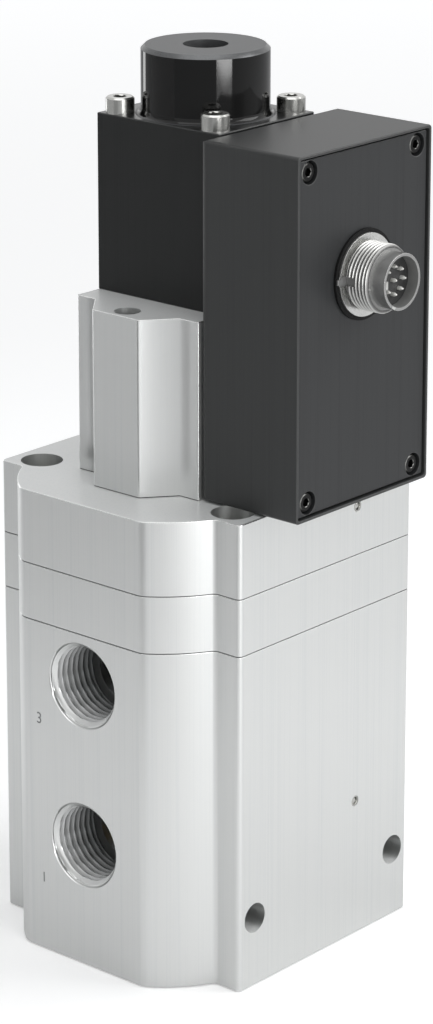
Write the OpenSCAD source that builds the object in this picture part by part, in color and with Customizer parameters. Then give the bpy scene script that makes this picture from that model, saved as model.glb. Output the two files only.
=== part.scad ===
// Electro pneumatic pressure regulator, in millimetres.
// X runs along the front, Y away from the front, Z up. The origin is where the valve axis meets the base.

/* [Valve stack] */
// Width across the ears of the stack, along X
ear_w = 65; // [62:0.5:76]
// Depth of the stack, along Y
ear_d = 78; // [74:0.5:90]
// Width over the two flat port faces, along X
port_span = 91; // [86:0.5:104]
// Length of each flat port face, along Y
port_flat = 39; // [30:0.5:42]
// Distance between the two places where the flanks of a port face meet the ears
flank_root = 63; // [58:0.5:66]
// Radius of the hollow corner between flank and ear
flank_fillet = 2; // [1:0.25:3]
// Rounding of the ears' outer corners
ear_round = 1.3; // [0.5:0.1:3]
// Height of the valve body
body_h = 85.7; // [84:0.1:110]
// Height of the middle plate
middle_h = 14.3; // [12:0.1:24]
// Height of the top plate
top_h = 18.6; // [18.2:0.1:26]

/* [Ports] */
// Diameter of the port bores, the outside of their thread
port_d = 20.955; // [16.6:0.005:21.5]
// Depth of the port bores
port_depth = 14.5; // [10:0.5:15]
// Chamfer at the mouth of a port
port_chamfer = 0.45; // [0.2:0.05:1]
// Diameter of the passages from the ports to the valve bore
passage_d = 15; // [10:0.5:16]
// Height of the supply port
supply_z = 31.2; // [29:0.1:33]
// Height of the outlet port, on the far side
outlet_z = 51.9; // [49:0.1:53]
// Height of the exhaust port
exhaust_z = 72.6; // [71:0.1:74]

/* [Mounting holes] */
// Diameter of the mounting holes
mount_d = 7.5; // [5:0.1:8]
// Distance between the mounting holes
mount_spacing = 53.4; // [50:0.1:56]
// Height of the mounting holes
mount_z = 17.5; // [10:0.1:18]

/* [Valve] */
// Diameter of the supply and exhaust chambers
chamber_d = 26; // [24:0.5:28]
// Bore of the supply seat and of the outlet chamber
seat_d = 16; // [14:0.5:17]
// Height of the supply seat
seat_z = 38; // [36:0.5:42]
// Diameter of the bottom plug
plug_d = 30; // [29:0.5:34]
// Height of the bottom plug
plug_h = 12; // [10:0.5:13]
// Outside diameter of the valve stem
stem_d = 10; // [8:0.5:11]
// Bore of the valve stem
stem_bore = 5; // [3:0.5:6]
// Diameter of the cylinder for the control piston
cylinder_d = 34; // [32:0.5:36]
// Thickness of the control piston
piston_h = 5.5; // [5:0.1:6]
// How far the poppet opens
poppet_travel = 2.5; // [1:0.1:2.7]
// How far the stem lifts off the poppet
vent_travel = 1.5; // [0.5:0.1:2]

/* [Tie screws] */
// Thread diameter of the tie screws
tie_d = 6; // [5:0.5:6]
// Diameter of the counterbores for the tie screws
tie_sink_d = 10.5; // [10:0.1:11.5]
// Distance of the tie screws from the ears' side faces
tie_in_x = 6.5; // [6:0.1:8]
// Distance of the tie screws from the front and back faces
tie_in_y = 7.8; // [6:0.1:9]

/* [Neck block] */
// Height of the neck block
neck_h = 44.2; // [40:0.1:60]
// Depth of the neck and pilot blocks, along Y
head_d = 39; // [37:0.5:44]
// Width of the neck block between its lugs
neck_w = 50; // [46:0.5:56]
// Width over the lugs of the neck block
lug_span = 65.5; // [62:0.5:70]
// Length of a lug's flat face, along Y
lug_flat = 14.6; // [10:0.1:20]
// Length of a lug where it meets the block, along Y
lug_root = 27.3; // [24:0.1:32]
// Diameter of the screw hole in a lug
lug_hole_d = 6.5; // [6:0.1:7.5]
// Distance of the lugs' screw holes from the lug faces
lug_hole_in = 4.45; // [4:0.05:5]

/* [Pilot valve] */
// Width of the pilot block, along X
pilot_w = 35; // [34:0.5:44]
// Height of the pilot block
pilot_h = 44; // [40:0.5:60]
// Diameter of the cap
cap_d = 31.3; // [29:0.1:32]
// Height of the cap
cap_h = 16.7; // [12:0.1:24]
// Diameter of the hole in the cap
cap_hole_d = 11; // [10:0.1:14]
// Chamfer at the cap's top edge
cap_chamfer = 1; // [0.4:0.1:2]
// Thread diameter of the pilot screws
pilot_screw_d = 4; // [3:0.5:4]
// Distance between the pilot screws along X
pilot_screw_x = 27.8; // [27.4:0.1:28]
// Distance between the pilot screws along Y
pilot_screw_y = 30.4; // [29.6:0.1:32]
// Outside diameter of the coil
coil_d = 26; // [24:0.5:28]
// Inside diameter of the guide tube
tube_bore = 8.5; // [7:0.1:9]
// How far the armature lifts
armature_travel = 0.8; // [0.3:0.1:1]

/* [Electronics housing] */
// Width of the housing
house_w = 49.5; // [48:0.5:60]
// Depth of the housing, along Y
house_d = 30.2; // [29:0.1:40]
// Rounding of the edges that run from the housing's front to its back
house_round = 1.1; // [0.8:0.1:2]
// Rounding of the edges round the housing's back
house_back_round = 2.5; // [1:0.1:2.8]
// Wall thickness of the housing
house_wall = 2.6; // [2.4:0.1:4]
// Width of the rim round the cover
rim_w = 0.8; // [0.7:0.1:1.2]
// How far the cover lies behind the rim
cover_sink = 0.6; // [0.4:0.1:2]
// Thickness of the cover
cover_t = 4; // [3.6:0.1:6]
// Gap between cover and rim
cover_gap = 0.45; // [0.2:0.05:0.6]
// Distance of the cover screws from the housing's sides
cover_screw_side = 4.85; // [4.7:0.05:5.5]
// Distance of the upper cover screws from the housing's top
cover_screw_top = 4.3; // [4.2:0.1:6]
// Distance of the lower cover screws from the housing's bottom
cover_screw_foot = 4.3; // [4.2:0.1:6]
// Diameter of the counterbores in the cover
cover_sink_d = 5.6; // [5.2:0.1:6]

/* [Connector] */
// Height of the connector's axis over the housing's bottom
connector_up = 55.8; // [40:0.1:64]
// Diameter of the flange
flange_d = 20; // [18.5:0.1:21]
// Diameter of the gasket under the flange
gasket_d = 22; // [20.5:0.1:24]
// Diameter at the root of the coupling thread
thread_root_d = 15.2; // [14.8:0.1:15.6]
// Length of shell that carries the coupling thread
thread_l = 6.3; // [4:0.1:8]
// Diameter of the smooth barrel in front of the thread
barrel_d = 13.6; // [13.4:0.1:14.4]
// Length of the smooth barrel
barrel_l = 4.1; // [3:0.1:8]
// Bore of the barrel
socket_d = 12.2; // [11.8:0.1:12.6]
// Diameter of the contact pins
pin_d = 1.2; // [0.8:0.1:1.4]
// Radius of the circle of pins
pin_ring_r = 3.4; // [3:0.1:4]

/* [Hidden] */
$fn = 64;
bite = 1;                 // how far a cutting shape reaches past the face that it cuts
fit = 0.05;               // radial clearance of a running fit or of a piece set in its bore
loose = 0.3;              // radial clearance where nothing guides
thread_gap = 0.1;         // radial clearance of a screw in its thread
hole_gap = 0.3;           // radial clearance of a screw in a through hole
round_step = 0.02;        // step that keeps crossing roundings from touching along a line

// Levels of the stack
middle_z = body_h;
top_z = middle_z + middle_h;
neck_z = top_z + top_h;
pilot_z = neck_z + neck_h;
cap_z = pilot_z + pilot_h;

// Flank of the port faces: one circle through the end of the flat and the root at the ear
flank_x = (pow(port_span, 2) - pow(ear_w, 2) - pow(flank_root, 2) + pow(port_flat, 2))
    / (4 * (port_span - ear_w));
flank_r = sqrt(pow(port_span / 2 - flank_x, 2) + pow(port_flat / 2, 2));
fillet_bite = 0.02;
fillet_x = ear_w / 2 + flank_fillet - fillet_bite;
fillet_y = sqrt(pow(flank_r + flank_fillet - fillet_bite, 2) - pow(fillet_x - flank_x, 2));

// Drillings: outlet pressure up to the piston, and supply pressure up to the pilot valve
feedback_x = 19;
feedback_d = 3;
feed_x = 11.6;
feed_drop = 2.5;
feed_z = seat_z - feed_drop;
feed_y = -27;
feed_d = 2.5;
feed_rise_d = 2.1;
feed_top_in = 6.1;
feed_top_z = neck_z - feed_top_in;
riser_in = 3.1;
riser_y = -head_d / 2 + riser_in;
riser_d = 2;
riser_h = 20;
cross_d = 1.6;
plug_seat_d = 2.6;
plug_seat_l = 4;
plug_sink = 0.1;
plug_groove_d = 1.8;
plug_core_d = 1.1;
plug_groove_depth = 0.5;

// Seals of the stack
seal_d = 1.8;
groove_depth = seal_d + fit;
groove_w = 2.2;
inner_seal_in = 2.25;
inner_seal_r = chamber_d / 2 + inner_seal_in;
outer_seal_in = 4;
outer_seal_r = feedback_x + outer_seal_in;
cylinder_seal_in = 2;
cylinder_seal_r = max(cylinder_d / 2, feedback_x + feedback_d / 2) + cylinder_seal_in;
stem_seal_d = 2.3;
stem_seal_z = middle_z + middle_h / 2;

// Bottom plug, poppet and their spring
seat_lip = 0.8;
seat_lip_w = 1.2;
guide_d = 8;
guide_floor = 5;
boss_d = 12;
boss_h = 8;
spanner_d = 4;
spanner_r = 9;
spanner_depth = 4;
plug_seal_in = 2.4;
plug_seal_z = plug_h - plug_seal_in;
poppet_floor = 3.5;
poppet_seal_lap = 1.6;
poppet_wall = 1.2;
poppet_seal_d = seat_d + 2 * poppet_seal_lap;
poppet_d = poppet_seal_d + 2 * poppet_wall;
poppet_seal_h = 2.5;
poppet_rim = 0.6;
poppet_z = seat_z - poppet_seal_h - poppet_floor;
tail_clear = 0.5;
guide_l = poppet_z - plug_h - poppet_travel - tail_clear + guide_floor;
poppet_wire = 1.6;
spring_in = 2.2;
poppet_spring_r = boss_d / 2 + spring_in;

// Stem, bush and piston
bush_h = 5;
bush_flange_w = 2;
bush_flange_d = seat_d + 2 * bush_flange_w;
bush_flange_h = 1.5;
exhaust_step = 1.1;
exhaust_floor = exhaust_z - passage_d / 2 - exhaust_step;
vent_hole_d = 4;
stem_end_d = 6;
piston_clear = 0.3;
piston_z = top_z + poppet_travel + piston_clear;
piston_seal_d = 2;
piston_nut_h = 3;
piston_nut_w = 10;
stem_tip = 0.7;
cylinder_clear = 1.1;
cylinder_h = piston_z - top_z + piston_h + piston_nut_h + stem_tip + vent_travel + cylinder_clear;

// Tie screws
tie_head_d = 10 / 6 * tie_d;
tie_key = 5 / 6 * tie_d;
tie_hole_clear = 2;
tie_sink_h = 12;
tie_thread_l = 14;
tie_x = ear_w / 2 - tie_in_x;
tie_y = ear_d / 2 - tie_in_y;
tie_floor = neck_z - tie_sink_h;

// Neck screws
neck_screw_d = 3;
neck_head_d = 5.5;
neck_key = 2.5;
neck_screw_x = lug_span / 2 - lug_hole_in;
lug_floor = 6;
neck_screw_floor = neck_z + lug_floor;
neck_screw_l = 14;
neck_hole_clear = 1;

// Pilot nozzle, guide tube and armature
tube_wall = 1;
tube_d = tube_bore + 2 * tube_wall;
tube_flange_d = 20;
tube_flange_h = 2.5;
tube_flange_z = pilot_z - tube_flange_h;
tube_seal_r = 8.2;
nozzle_d = 8;
nozzle_sink = 2.3;
nozzle_h = 14.5;
nozzle_tip_z = pilot_z - nozzle_sink;
nozzle_base_z = nozzle_tip_z - nozzle_h;
nozzle_thread_h = 8;
nozzle_land = 0.6;
nozzle_bore = 1.5;
armature_room_d = 12;
armature_seal_d = 5.6;
armature_seal_h = 2;
armature_lip = 0.4;
armature_d = tube_bore - 2 * fit;
armature_rise = 25;
armature_top_z = pilot_z + armature_rise;
pole_clear = 0.2;
pole_z = armature_top_z + armature_travel + pole_clear;
pole_sink = 9.5;
pole_top_z = cap_z + cap_h - pole_sink;
tube_end = 2;
pocket_d = 5.2;
armature_pocket = 8;
pole_pocket = 3;
armature_wire = 0.6;
armature_spring_r = 1.9;
vent_d = 2.5;
vent_drop = 3;

// Coil, cap and pilot screws
bobbin_wall = 1.2;
bobbin_flange = 2;
coil_bore = coil_d + 2 * loose;
coil_clear = 0.5;
coil_z = pilot_z + coil_clear;
spigot_h = 1;
coil_h = pilot_h - spigot_h - 2 * coil_clear;
winding_in = 1;
cap_foot = 1.4;
pilot_thread_l = 10;
pilot_screw_l = pilot_h + pilot_thread_l;
pilot_head_d = 7;
pilot_head_h = 4;
pilot_key = 3;
pilot_hole_clear = 2;

// Housing
house_gap = 0.4;
house_z = neck_z + house_gap;
house_h = cap_z - house_z;
house_back = -head_d / 2;
house_front = house_back - house_d;
house_floor = 3;
block_l = house_d + 2 * house_back_round;
gasket_t = 0.5;
ledge_y = house_front + cover_sink + cover_t + gasket_t;
cover_front = house_front + cover_sink;
cover_back = cover_front + cover_t;
cover_screw_x = house_w / 2 - cover_screw_side;
cover_screw_zs = [house_z + cover_screw_foot, cap_z - cover_screw_top];
cover_screw_d = 2.5;
cover_head_d = 4.5;
cover_head_h = 2.5;
cover_head_sink = 0.5;
cover_key = 2;
cover_screw_l = 10;
post_d = 7;
house_screw_d = 4;
house_head_d = 7;
house_head_h = 4;
house_key = 3;
house_screw_in = 7.75;
house_screw_x = house_w / 2 - house_screw_in;
house_screw_foot = 12.4;
house_screw_top = 15.8;
house_screw_zs = [neck_z + house_screw_foot, pilot_z - house_screw_top];
house_screw_l = 10;
house_hole_clear = 1;

// Circuit board and sensor
board_t = 1.6;
board_lift = 8.5;
board_y = house_back - house_floor - board_lift;
board_in = 1.5;
board_w = house_w - 2 * (house_wall + board_in);
board_post_in = 5;
board_bottom = house_z + cover_screw_foot + board_post_in;
board_top = cap_z - cover_screw_top - board_post_in;
standoff_x = 10.5;
standoff_foot = 20;
standoff_top = 15;
standoff_zs = [neck_z + standoff_foot, cap_z - standoff_top];
standoff_d = 5;
board_screw_d = 2.5;
board_head_d = 4.5;
board_head_h = 2.5;
board_key = 2;
board_screw_l = 6;
sensor_drop = 12.8;
sensor_z = pilot_z - sensor_drop;
sensor_d = 10;
sensor_h = 6.5;
sensor_pipe_d = 4;
sensor_seal_d = 1.4;
sensor_pocket_d = sensor_pipe_d + 2 * sensor_seal_d + 4 * fit;
sensor_pocket_h = 5;
sensor_pipe_l = 2.6;

// Connector
connector_z = house_z + connector_up;
gasket_h = 0.6;
flange_h = 0.6;
flange_y = cover_front - gasket_h;
thread_y = flange_y - flange_h;
barrel_y = thread_y - thread_l;
tip_y = barrel_y - barrel_l;
neck_shell_d = 15.8;
shell_tail = 6.5;
shell_back = cover_back + shell_tail;
connector_nut_h = 3;
connector_nut_w = 19;
insert_depth = 3;
pin_tip_depth = 1.5;
pin_taper = 0.9;
pin_gap = 0.04;
key_w = 1.9;
key_h = 1.3;
key_root = 0.3;
key_sink = 0.4;
notch_w = 2.2;
notch_l = 2.5;
notch_web = 0.3;
notch_sink = 0.3;
nub_w = 1.3;
nub_l = 1.8;
nub_h = 0.5;
nub_edge = 0.2;

// Finishes as the photograph shows them
silver = [0.80, 0.81, 0.80];
black = [0.14, 0.14, 0.14];
steel = [0.68, 0.68, 0.66];
brass = [0.75, 0.60, 0.28];
rubber = [0.07, 0.07, 0.07];

// Shared shapes

module rounded_rect(w, h, r) {
    square([w - 2 * r, h], center = true);
    square([w, h - 2 * r], center = true);
    for (x = [-1, 1], y = [-1, 1])
        translate([x * (w / 2 - r), y * (h / 2 - r)]) circle(r);
}

// A round hole or rod on the Z axis between two levels
module rod(d, from, to) {
    translate([0, 0, from]) cylinder(d = d, h = to - from);
}

// A flat ring on the Z axis between two levels
module tube(d_out, d_in, from, to) {
    rotate_extrude() translate([d_in / 2, from]) square([(d_out - d_in) / 2, to - from]);
}

module o_ring(r, section) {
    rotate_extrude() translate([r, 0]) circle(d = section);
}

// A groove for an O-ring in a top face at level z
module groove(r, z) {
    tube(2 * r + groove_w, 2 * r - groove_w, z - groove_depth, z + bite);
}

// Copies at the four corners of a rectangle with these half sides
module corners(x, y) {
    for (sx = [-1, 1], sy = [-1, 1]) translate([sx * x, sy * y, 0]) children();
}

// Turns a child that points along Z so that it points out of the front, with its foot at y
module frontward(x, y, z) {
    translate([x, y, z]) rotate([90, 0, 0]) children();
}

// A socket head screw along Z with its head's seat at z = 0 and its shank below
module socket_screw(d, length, head_d, head_h, key) {
    edge = head_h / 12;
    difference() {
        rotate_extrude() polygon([
            [0, -length], [d / 2 - edge, -length], [d / 2, edge - length], [d / 2, 0], [head_d / 2, 0],
            [head_d / 2, head_h - edge], [head_d / 2 - edge, head_h], [0, head_h]
        ]);
        translate([0, 0, head_h / 2]) cylinder(d = key / cos(30), h = head_h, $fn = 6);
    }
}

// Turns of round wire about the Z axis between two levels
module coil_spring(r, wire, turns, from, to, steps, sides) {
    count = turns * steps;
    rise = to - from - wire;
    points = [
        for (i = [0 : count]) let (a = 360 * i / steps, z = from + wire / 2 + rise * i / count)
            for (j = [0 : sides - 1]) let (b = 360 * j / sides, x = r + wire / 2 * cos(b))
                [x * cos(a), x * sin(a), z + wire / 2 * sin(b)]
    ];
    skin = [
        for (i = [0 : count - 1], j = [0 : sides - 1]) let (k = (j + 1) % sides)
            [i * sides + j, i * sides + k, (i + 1) * sides + k, (i + 1) * sides + j]
    ];
    first = [for (j = [sides - 1 : -1 : 0]) j];
    last = [for (j = [0 : sides - 1]) count * sides + j];
    polyhedron(points, concat(skin, [first, last]));
}

// The outline that the body and both plates share
module stack_outline() {
    rounded_rect(ear_w, ear_d, ear_round);
    for (s = [0, 1]) mirror([s, 0]) {
        intersection() {
            translate([flank_x, 0]) circle(flank_r, $fn = 128);
            translate([0, -ear_d / 2]) square([port_span / 2, ear_d]);
        }
        for (t = [0, 1]) mirror([0, t]) difference() {
            polygon([[flank_x, 0], [fillet_x, fillet_y], [ear_w / 2 - flank_fillet, fillet_y]]);
            translate([fillet_x, fillet_y]) circle(flank_fillet);
        }
    }
}

// Outline of the housing, or of what lies inside it, brought in by inset
module house_outline(inset) {
    translate([0, house_z + house_h / 2])
        rounded_rect(house_w - 2 * inset, house_h - 2 * inset, max(house_round - inset, 0.6));
}

// The housing's outer form: a block whose edges are rounded, those round its back the most
module house_block() intersection() {
    frontward(0, house_back + bite, 0) linear_extrude(house_d + bite) house_outline(-round_step);
    translate([0, house_back - block_l / 2, house_z - bite])
        linear_extrude(house_h + 2 * bite) rounded_rect(house_w, block_l, house_back_round);
    translate([-house_w / 2 - bite, house_back + round_step - block_l / 2, house_z + house_h / 2])
        rotate([90, 0, 90]) linear_extrude(house_w + 2 * bite)
            rounded_rect(block_l, house_h, house_back_round);
}

// The lower body

// A threaded port in the side towards +X, with its mouth chamfer and its passage to the valve bore
module port(z, bore_r) {
    face = port_span / 2;
    translate([0, 0, z]) rotate([0, 90, 0]) {
        rod(port_d, face - port_depth, face + bite);
        rod(passage_d, bore_r, face - port_depth + bite);
        translate([0, 0, face - port_chamfer])
            cylinder(d1 = port_d, d2 = port_d + 2 * (port_chamfer + bite), h = port_chamfer + bite);
    }
}

module valve_body() color(silver) difference() {
    linear_extrude(body_h) stack_outline();
    rod(plug_d + 2 * thread_gap, -bite, plug_h);
    difference() {
        rod(chamber_d, plug_h - bite, seat_z + seat_lip);
        tube(seat_d + 2 * seat_lip_w, seat_d, seat_z, seat_z + seat_lip + bite);
    }
    rod(seat_d, seat_z - bite, exhaust_floor + bite);
    rod(chamber_d, exhaust_floor, body_h + bite);
    mirror([1, 0, 0]) port(supply_z, 0);
    mirror([1, 0, 0]) port(exhaust_z, 0);
    port(outlet_z, 0);
    for (s = [-1, 1])
        frontward(s * mount_spacing / 2, 0, mount_z) rod(mount_d, -ear_d / 2 - bite, ear_d / 2 + bite);
    corners(tie_x, tie_y) rod(tie_d + 2 * thread_gap, body_h - tie_thread_l - tie_hole_clear, body_h + bite);
    groove(inner_seal_r, body_h);
    groove(outer_seal_r, body_h);
    translate([feedback_x, 0, 0]) rod(feedback_d, outlet_z, body_h + bite);
    translate([feed_x, feed_y, 0]) rod(feed_rise_d, feed_z, body_h + bite);
    frontward(feed_x, 0, feed_z) {
        rod(feed_d, 0, ear_d / 2 - plug_seat_l + bite);
        rod(plug_seat_d + 2 * fit, ear_d / 2 - plug_seat_l, ear_d / 2 + bite);
    }
}

// Plug with the guide of the poppet's tail, turned in from below with a pin spanner
module bottom_plug() color(steel) difference() {
    union() {
        rod(plug_d, 0, plug_h);
        rod(boss_d, plug_h - bite, plug_h + boss_h);
    }
    rod(guide_d + 2 * fit, guide_floor, plug_h + boss_h + bite);
    tube(plug_d + bite, plug_d - 2 * groove_depth, plug_seal_z - groove_w / 2, plug_seal_z + groove_w / 2);
    for (s = [-1, 1]) translate([s * spanner_r, 0, 0]) rod(spanner_d, -bite, spanner_depth);
}

module plug_seal() color(rubber)
    translate([0, 0, plug_seal_z]) o_ring(plug_d / 2 - seal_d / 2, seal_d);

// Cup for the rubber face, with a tail that slides in the plug
module main_poppet() color(brass) rotate_extrude() polygon([
    [0, poppet_z - guide_l + guide_floor], [guide_d / 2, poppet_z - guide_l + guide_floor],
    [guide_d / 2, poppet_z], [poppet_d / 2, poppet_z], [poppet_d / 2, seat_z - poppet_rim],
    [poppet_seal_d / 2 + fit, seat_z - poppet_rim], [poppet_seal_d / 2 + fit, seat_z - poppet_seal_h],
    [0, seat_z - poppet_seal_h]
]);

module poppet_seal() color(rubber) rod(poppet_seal_d, seat_z - poppet_seal_h, seat_z);

module poppet_spring() color(steel)
    coil_spring(poppet_spring_r, poppet_wire, 5, plug_h + fit, poppet_z - fit, 20, 8);

// Hollow stem: its foot closes on the poppet's face, its cross holes vent into the exhaust chamber
module valve_stem() color(steel) difference() {
    union() {
        rod(stem_d, seat_z, piston_z);
        rod(stem_end_d, piston_z - bite, piston_z + piston_h + piston_nut_h + stem_tip);
    }
    rod(stem_bore, seat_z - bite, exhaust_z + vent_hole_d);
    translate([0, 0, exhaust_z]) for (a = [0, 90])
        rotate([0, 90, a]) rod(vent_hole_d, -stem_d, stem_d);
}

module stem_bush() color(brass) {
    tube(seat_d - 2 * fit, stem_d + 2 * fit, exhaust_floor - bush_h, exhaust_floor);
    tube(bush_flange_d, stem_d + 2 * fit, exhaust_floor, exhaust_floor + bush_flange_h);
}

module inner_body_seal() color(rubber)
    translate([0, 0, body_h - groove_depth / 2]) o_ring(inner_seal_r, seal_d);

module outer_body_seal() color(rubber)
    translate([0, 0, body_h - groove_depth / 2]) o_ring(outer_seal_r, seal_d);

// The plates and the piston

module middle_plate() color(silver) difference() {
    translate([0, 0, middle_z]) linear_extrude(middle_h) stack_outline();
    rod(stem_d + 2 * fit, middle_z - bite, top_z + bite);
    translate([0, 0, stem_seal_z]) tube(stem_d + 2 * stem_seal_d + 4 * fit, stem_d,
        -stem_seal_d / 2 - fit, stem_seal_d / 2 + fit);
    corners(tie_x, tie_y) rod(tie_d + 2 * hole_gap, middle_z - bite, top_z + bite);
    groove(cylinder_seal_r, top_z);
    translate([feedback_x, 0, 0]) rod(feedback_d, middle_z - bite, top_z + bite);
    translate([cylinder_d / 2 - feedback_d, -feedback_d / 2, top_z - feedback_d / 2])
        cube([feedback_x - cylinder_d / 2 + feedback_d, feedback_d, feedback_d]);
    translate([feed_x, feed_y, 0]) rod(feed_rise_d, middle_z - bite, top_z + bite);
}

module stem_seal() color(rubber)
    translate([0, 0, stem_seal_z]) o_ring(stem_d / 2 + fit + stem_seal_d / 2, stem_seal_d);

module cylinder_seal() color(rubber)
    translate([0, 0, top_z - groove_depth / 2]) o_ring(cylinder_seal_r, seal_d);

module piston() color(silver) difference() {
    tube(cylinder_d - 2 * loose, stem_end_d + 2 * fit, piston_z, piston_z + piston_h);
    translate([0, 0, piston_z + piston_h / 2]) tube(cylinder_d, cylinder_d - 2 * piston_seal_d - 4 * fit,
        -piston_seal_d / 2 - fit, piston_seal_d / 2 + fit);
}

module piston_seal() color(rubber) translate([0, 0, piston_z + piston_h / 2])
    o_ring(cylinder_d / 2 - fit - piston_seal_d / 2, piston_seal_d);

module piston_nut() color(steel) difference() {
    translate([0, 0, piston_z + piston_h])
        cylinder(d = piston_nut_w / cos(30), h = piston_nut_h, $fn = 6);
    rod(stem_end_d + 2 * thread_gap, piston_z, piston_z + piston_h + piston_nut_h + bite);
}

module top_plate() color(silver) difference() {
    translate([0, 0, top_z]) linear_extrude(top_h) stack_outline();
    rod(cylinder_d, top_z - bite, top_z + cylinder_h);
    rod(feedback_d, top_z, neck_z + bite);
    corners(tie_x, tie_y) {
        rod(tie_d + 2 * hole_gap, top_z - bite, neck_z);
        rod(tie_sink_d, tie_floor, neck_z + bite);
    }
    for (s = [-1, 1]) translate([s * neck_screw_x, 0, 0])
        rod(neck_screw_d + 2 * thread_gap, neck_screw_floor - neck_screw_l - neck_hole_clear, neck_z + bite);
    translate([feed_x, feed_y, 0]) rod(feed_rise_d, top_z - bite, feed_top_z);
    translate([feed_x, riser_y, 0]) rod(riser_d, feed_top_z, neck_z + bite);
    frontward(feed_x, 0, feed_top_z) {
        rod(feed_d, -riser_y - cross_d, ear_d / 2 - plug_seat_l + bite);
        rod(plug_seat_d + 2 * fit, ear_d / 2 - plug_seat_l, ear_d / 2 + bite);
    }
}

module tie_screws() color(steel) corners(tie_x, tie_y) translate([0, 0, tie_floor])
    socket_screw(tie_d, tie_floor - body_h + tie_thread_l, tie_head_d, tie_d, tie_key);

// Pressed sleeves with a bright core, closing the two drillings in the front
module expander_plugs() color(steel) for (z = [feed_z, feed_top_z])
    frontward(feed_x, -ear_d / 2, z) difference() {
        rod(plug_seat_d, -plug_seat_l, -plug_sink);
        tube(plug_groove_d, plug_core_d, -plug_groove_depth, bite);
    }

// Neck and pilot valve

module neck_block() color(silver) difference() {
    translate([0, 0, neck_z]) linear_extrude(neck_h) union() {
        square([neck_w, head_d], center = true);
        polygon([
            for (s = [-1, 1]) each [
                [s * neck_w / 2, s * -lug_root / 2], [s * lug_span / 2, s * -lug_flat / 2],
                [s * lug_span / 2, s * lug_flat / 2], [s * neck_w / 2, s * lug_root / 2]
            ]
        ]);
    }
    for (s = [-1, 1]) translate([s * neck_screw_x, 0, 0]) {
        rod(neck_screw_d + 2 * hole_gap, neck_z - bite, pilot_z);
        rod(lug_hole_d, neck_screw_floor, pilot_z + bite);
    }
    rod(feedback_d, neck_z - bite, nozzle_base_z + bite);
    rod(nozzle_d + 2 * thread_gap, nozzle_base_z, nozzle_base_z + nozzle_thread_h + bite);
    rod(armature_room_d, nozzle_base_z + nozzle_thread_h, pilot_z + bite);
    rod(tube_flange_d + 2 * fit, tube_flange_z, pilot_z + bite);
    translate([0, 0, tube_flange_z]) groove(tube_seal_r, 0);
    corners(pilot_screw_x / 2, pilot_screw_y / 2)
        rod(pilot_screw_d + 2 * thread_gap, cap_z - pilot_screw_l - pilot_hole_clear, pilot_z + bite);
    translate([feed_x, riser_y, 0]) rod(riser_d, neck_z - bite, neck_z + riser_h);
    translate([0, 0, neck_z + riser_h - riser_d]) rotate([0, 90, atan2(riser_y, feed_x)])
        rod(cross_d, 0, norm([feed_x, riser_y]));
    frontward(0, 0, nozzle_tip_z - vent_drop) rod(vent_d, -head_d / 2 - bite, 0);
    for (s = [-1, 1], z = house_screw_zs) frontward(s * house_screw_x, house_back, z)
        rod(house_screw_d + 2 * thread_gap, house_floor - house_screw_l - house_hole_clear, bite);
    frontward(0, house_back, sensor_z) rod(sensor_pocket_d, -sensor_pocket_h, bite);
}

module neck_screws() color(steel) for (s = [-1, 1])
    translate([s * neck_screw_x, 0, neck_screw_floor])
        socket_screw(neck_screw_d, neck_screw_l, neck_head_d, neck_screw_d, neck_key);

module pilot_nozzle() color(brass) difference() {
    rotate_extrude() polygon([
        [0, nozzle_base_z], [nozzle_d / 2, nozzle_base_z], [nozzle_d / 2, nozzle_base_z + nozzle_thread_h],
        [nozzle_bore, nozzle_tip_z - nozzle_land], [nozzle_bore, nozzle_tip_z], [0, nozzle_tip_z]
    ]);
    rod(nozzle_bore, nozzle_base_z - bite, nozzle_tip_z + bite);
}

module guide_tube() color(steel) rotate_extrude() polygon([
    [tube_bore / 2, tube_flange_z], [tube_flange_d / 2, tube_flange_z], [tube_flange_d / 2, pilot_z],
    [tube_d / 2, pilot_z], [tube_d / 2, cap_z + tube_end], [tube_bore / 2, cap_z + tube_end]
]);

module tube_seal() color(rubber)
    translate([0, 0, tube_flange_z - groove_depth / 2]) o_ring(tube_seal_r, seal_d);

module armature() color(steel) difference() {
    rod(armature_d, nozzle_tip_z + armature_lip, armature_top_z);
    rod(armature_seal_d + 2 * fit, nozzle_tip_z, nozzle_tip_z + armature_seal_h);
    rod(pocket_d, armature_top_z - armature_pocket, armature_top_z + bite);
}

module armature_seal() color(rubber) rod(armature_seal_d, nozzle_tip_z, nozzle_tip_z + armature_seal_h);

module armature_spring() color(steel) coil_spring(armature_spring_r, armature_wire, 7,
    armature_top_z - armature_pocket + fit, pole_z + pole_pocket - fit, 14, 6);

module pole_piece() color(steel) difference() {
    rod(tube_bore - 2 * fit, pole_z, pole_top_z);
    rod(pocket_d, pole_z - bite, pole_z + pole_pocket);
}

module coil_bobbin() color(black) {
    hub = tube_d + 2 * fit;
    tube(hub + 2 * bobbin_wall, hub, coil_z, coil_z + coil_h);
    tube(coil_d, hub, coil_z, coil_z + bobbin_flange);
    tube(coil_d, hub, coil_z + coil_h - bobbin_flange, coil_z + coil_h);
}

module coil_winding() color([0.62, 0.34, 0.18])
    tube(coil_d - 2 * winding_in, tube_d + 2 * bobbin_wall + 4 * fit,
        coil_z + bobbin_flange, coil_z + coil_h - bobbin_flange);

module pilot_block() color(black) difference() {
    translate([-pilot_w / 2, -head_d / 2, pilot_z]) cube([pilot_w, head_d, pilot_h]);
    rod(coil_bore, pilot_z - bite, cap_z + bite);
    corners(pilot_screw_x / 2, pilot_screw_y / 2)
        rod(pilot_screw_d + 2 * hole_gap, pilot_z - bite, cap_z + bite);
}

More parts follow.
